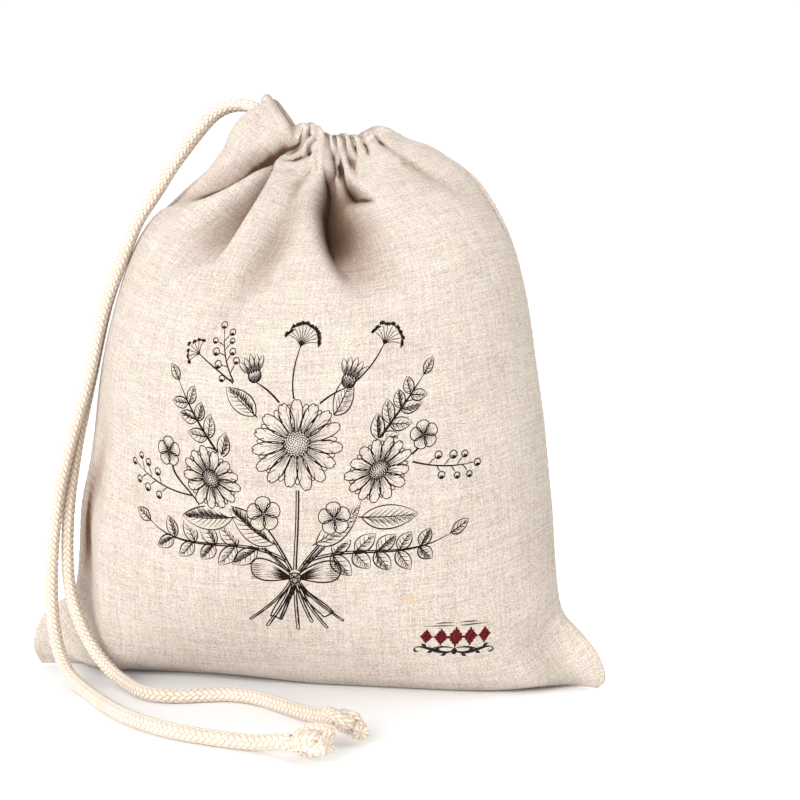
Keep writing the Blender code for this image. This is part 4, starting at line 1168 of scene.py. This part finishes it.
def drawBud(foot, cup, size, lean):
    # stem, a hatched cup with small sepals, and petals that stand up out of it
    up = pi / 2 + lean
    down = cup - 0.55 * size * facing(up)
    for aside in (0.35, -0.35):
        penFor(0)(between(foot, down, [(aside, 0), (aside, 2), (aside, 1), (0, 0)]), pen, 1.0, 0.8)
    draw = penFor(1, cup, up, size)
    draw(mirrored([(-0.55, 0), (-0.5, 0.38), (-0.2, 0.42), (0.05, 0.36)]), pen * 1.3, 0.8, 0.8)
    lines = mirrored([(-0.5, -0.16), (-0.35, -0.304), (-0.15, -0.32), (0, -0.32)])
    hatch(draw, *lines, 9, fine * 1.6, (0.7, 0.3))
    for turn in (-0.62, -0.3, 0.0, 0.3, 0.62):
        tall = 1.15 - 0.25 * abs(turn)
        draw = penFor(1, placed((0, turn * 0.42), cup, up, size), up + turn * 0.85, size)
        draw(mirrored([(0, 0.02 / size), (tall * 0.35, 0.2), (tall * 0.8, 0.19), (tall, 0)]), pen)
        veins = mirrored([(0, 0), (tall * 0.25, -0.042), (tall * 0.4, -0.056), (tall, -0.056)])
        hatch(draw, *veins, 3, fine, (0.9, 0.2), (0.5, 0.75))


def drawStems():
    # the outer blossoms' stalks, cut stem ends that fan out below the tie, and the stems up to the flowers
    for x, y, tipX, tipY in ink["stalks"]:
        for aside in (-0.3, 0.4):
            stalk = [(x, y), (x + aside - 3, y + 6), (tipX + aside - 4, tipY - 6), (tipX + aside, tipY)]
            penFor(0)(stalk, pen, 1, 1)
    draw = penFor(1, ink["tied"])
    for end, low in ink["cutEnds"]:
        stem = np.array([(end * 0.08, -1), (end * 0.2, low * 0.35), (end * 0.6, low * 0.7), (end, low)])
        for aside in (-0.7, 0.7):
            draw(stem + np.outer((0.6, 1, 1, 1), (aside, 0)), pen * 1.1, 0.8, 0.8)
        draw(np.array([(-0.7, 0), (-0.3, -0.4), (0.3, -0.4), (0.7, 0)]) + (end, low), pen, 0.8, 0.8)
        for at in (0.3, 0.52, 0.74):
            draw(cubic(stem + (0.3, 0), at + np.array([0, 0.06, 0.12, 0.2])), fine * 1.5, 0.5, 0.2)
    for (x, y), radius, *_ in ink["flowers"] + ink["blossoms"][:2]:
        for aside, weight in ((-0.6, 1.0), (0.6, 1.5)):
            bend = [(aside, 0), (aside, 3), (aside, 1), (aside, 0)]
            stem = between(ink["tied"], (x, y - radius * 0.6), bend, (0, 0.35, 0.75, 1))
            penFor(0)(stem, pen * weight, 1, 1)


def drawBow():
    # two loops, two tails and a knot, shaded by lines that follow the ribbon
    draw = penFor(4, ink["tied"])
    draw(bow, pen * 1.35, 0.8, 0.8)
    for way in (-1, 1):
        for points, drop, count, weight, ends, tips in bowShades:
            first = np.array(points) * (way, 1)
            hatch(draw, first, first - np.outer(drop, (0, 1)), count, fine * weight, ends, tips)
    first = np.array([(-2.2, 1.5), (-2.4, 0.6), (-2.3, -0.4), (-1.9, -2)])
    hatch(draw, first, first + np.outer((4.2, 4.5, 4.32, 3.6), (1, 0)), 7, fine * 1.4, (0.4, 0.6))
    for k in range(6):
        for foot, tip in (((-1.0 + 0.35 * k, -4), (-5 + 0.5 * k, -11)),
                          ((1.4 + 0.2 * k, -4), (6 + 0.4 * k, -10))):
            draw(between(foot, tip, np.outer((0, 1, 0, 0), (0.3, 0))), fine * 1.3, 1.0, 0.15)


for key, drawOne in (("branches", drawBranch), ("berries", drawBerries), ("umbels", drawUmbel),
                     ("buds", drawBud), ("leaves", drawLeaf), ("flowers", drawFlower),
                     ("blossoms", drawBlossom)):
    for entry in ink[key]:
        drawOne(*entry)
drawStems()
drawBow()


def visiblePart(points, layer, covers):
    # strokes that run under a flower, leaf or knot keep only their longest stretch outside it
    trace = cubic(points[:, None], np.linspace(0, 1, 49)[None, :])
    clear = np.ones(trace.shape[:2], bool)
    for place, radius, squash, lean, above in covers:
        off = turned(trace - place, -lean) / (1, squash)
        clear &= ((off**2).sum(axis=-1) > radius**2) | (layer[:, None] >= above)
    spans = []
    for row in np.diff(np.pad(clear, ((0, 0), (1, 1))).astype(int), axis=1):
        starts, stops = np.flatnonzero(row == 1), np.flatnonzero(row == -1) - 1
        spans.append(max(zip(starts, stops), key=np.ptp, default=(0, 0)))
    return np.array(spans).T / 48.0


def onCloth(place):
    # a place on the flat cloth found between the four nearest points of the front's outer face, and its
    # normal there
    outer, normal, uv, runs = panels[-1]
    row = np.interp(place[..., 1], runs, np.arange(len(runs)))
    column = np.interp(place[..., 0], uv[0, :, 0], np.arange(outer.shape[1]))
    i, j = np.minimum(row.astype(int), len(runs) - 2), np.minimum(column.astype(int), outer.shape[1] - 2)
    s, t = (row - i)[..., None], (column - j)[..., None]
    point, out = ((grid[i, j] * (1 - s) + grid[i + 1, j] * s) * (1 - t)
                  + (grid[i, j + 1] * (1 - s) + grid[i + 1, j + 1] * s) * t for grid in (outer, normal))
    return point, unit(out)


def inkRibbons(name, colour, points, width, ends, span=(0, 1), reach=(0.35, 0.5)):
    # each stroke is a thin closed strip on the cloth, as wide as the pen pressed: width times
    # 1 - (1 - end) (1 - t / reach) ^ 1.3 from both ends. Short strokes have fewer steps than long ones.
    points, count = np.asarray(points, float), len(points)
    width, ends = np.broadcast_to(width, count), np.broadcast_to(ends, (count, 2))
    first, last = (np.broadcast_to(part, count) for part in span)

    def traced(chosen, share):
        return cubic(points[chosen][:, None], first[chosen, None] + (last - first)[chosen, None] * share)

    shape = traced(slice(None), np.linspace(0, 1, 9))
    kinds = np.digitize(np.linalg.norm(np.diff(shape, axis=1), axis=2).sum(axis=1), ink["lengths"])
    parts, made = [], 0
    for kind, steps in enumerate(ink["points"]):
        chosen, share = kinds == kind, np.linspace(0, 1, steps)
        line = traced(chosen, share)
        along = unit(np.gradient(line, axis=1))
        press = [1 - (1 - ends[chosen, k:k + 1]) * np.clip(1 - far / reach[k], 0, 1) ** 1.3
                 for k, far in enumerate((share, 1 - share))]
        half = (width[chosen, None] / 2 * press[0] * press[1])[..., None]
        sides = [line + np.stack([-along[..., 1], along[..., 0]], axis=-1) * way * half for way in (1, -1)]
        (left, leftOut), (right, rightOut) = (onCloth(side) for side in sides)
        ring = np.stack([left + leftOut * ink["lift"], right + rightOut * ink["lift"],
                         right - rightOut * ink["sink"], left - leftOut * ink["sink"]], axis=2)
        flat = np.stack([sides[0], sides[1], sides[1], sides[0]], axis=2)
        parts.append((ring.reshape(-1, 3), rodFaces(steps, chosen.sum(), made), flat.reshape(-1, 2)))
        made += ring.size // 3
    rings, faces, flat = (np.concatenate(part) for part in zip(*parts))
    addPiece(name, rings, faces[:, ::-1], inkMaterial(name, colour), flat * toMetres)


def placeDrawing():
    # the strokes that show, after the flowers, broad leaves and knot have covered what runs under them
    covers = [(place, radius * 0.97, *rest) for place, radius, _, *rest in ink["flowers"]]
    covers += [(place, radius * 0.9, 1, 0, layer) for place, radius, layer in ink["blossoms"]]
    covers += [(facing(turn) * length / 2 + place, length * 0.47, 1.6 * half / length, turn, 1)
               for place, turn, length, half, *_ in ink["leaves"]]
    covers.append((ink["tied"], ink["knot"], 1, 0, 4))
    points, width, layer, ends = (np.array(column) for column in zip(*strokes))
    span = visiblePart(points, layer, covers)
    shown = span[1] - span[0] > ink["leastShown"]
    inkRibbons("drawnFlowers", ink["colour"], points[shown], width[shown], ends[shown], span[:, shown])


placeDrawing()

# the small ornament beside the right foot: a row of red lozenges over a black leafy scroll
ornament = {"place": (81, 62), "turn": -7, "lozenges": 5, "pitch": 7, "tall": 9.4, "reach": 18.5, "top": 9.4}


def placeOrnament():
    # a lozenge is a fan of upright strokes, each as tall as the lozenge is there, and the scroll is two
    # mirrored curls with leaves, under a pair of fine bars
    at = (ornament["place"], radians(ornament["turn"]))
    red, reach, most = [], ornament["reach"], ornament["tall"]
    for k in np.arange(ornament["lozenges"]) - (ornament["lozenges"] - 1) / 2:
        tall = most * (1.0 - 0.13 * abs(k))
        for part in np.arange(-3, 4) / 3.5:
            centre, high = k * ornament["pitch"] + part * tall * 0.4, tall * (1 - abs(part))
            red.append([(centre, 2.8 + high * share) for share in (-0.5, -1 / 6, 1 / 6, 0.5)])
    inkRibbons("redLozenges", ink["red"], placed(red, *at), most * 0.15, (0.4, 0.4), reach=(0.1, 0.1))
    marks = [
        ([(0.5, -3.6), (reach * 0.35, -6.4), (reach * 0.75, -1.0), (reach, -3.2)], 1.7),
        ([(reach, -3.2), (reach * 1.1, -4.6), (reach * 0.96, -5.6), (reach * 0.9, -4.6)], 1.1),
        ([(0.8, -2.2), (reach * 0.3, -1.2), (reach * 0.5, -2.4), (reach * 0.62, -3.2)], 0.9),
    ]
    for share, side in ((0.2, -1), (0.38, 1), (0.56, -1), (0.74, 1)):
        leaf = np.array([(0, 0), (0.5, side * 0.9), (1.4, side * 1.5), (2.6, side * 1.7)])
        marks.append((leaf + (reach * share, -4.4 + 1.6 * smooth(0.2, 0.8, share)), 1.7))
    for up, far in ((ornament["top"], 0.55), (ornament["top"] - 1.3, 0.86)):
        marks.append(([(1.5, up), (reach * 0.3, up), (reach * 0.5, up), (reach * far, up - 0.5)], 0.55))
    black = [np.array(points) * (way, 1) for way in (-1, 1) for points, _ in marks]
    black.append([(0, -5.3), (0, -4.2), (0, -3.1), (0, -2.0)])
    width = [weight for _, weight in marks] * 2 + [3.4]
    inkRibbons("blackScroll", ink["black"], placed(black, *at), width, (0.3, 0.12), reach=(0.5, 0.6))


placeOrnament()
print("print made")
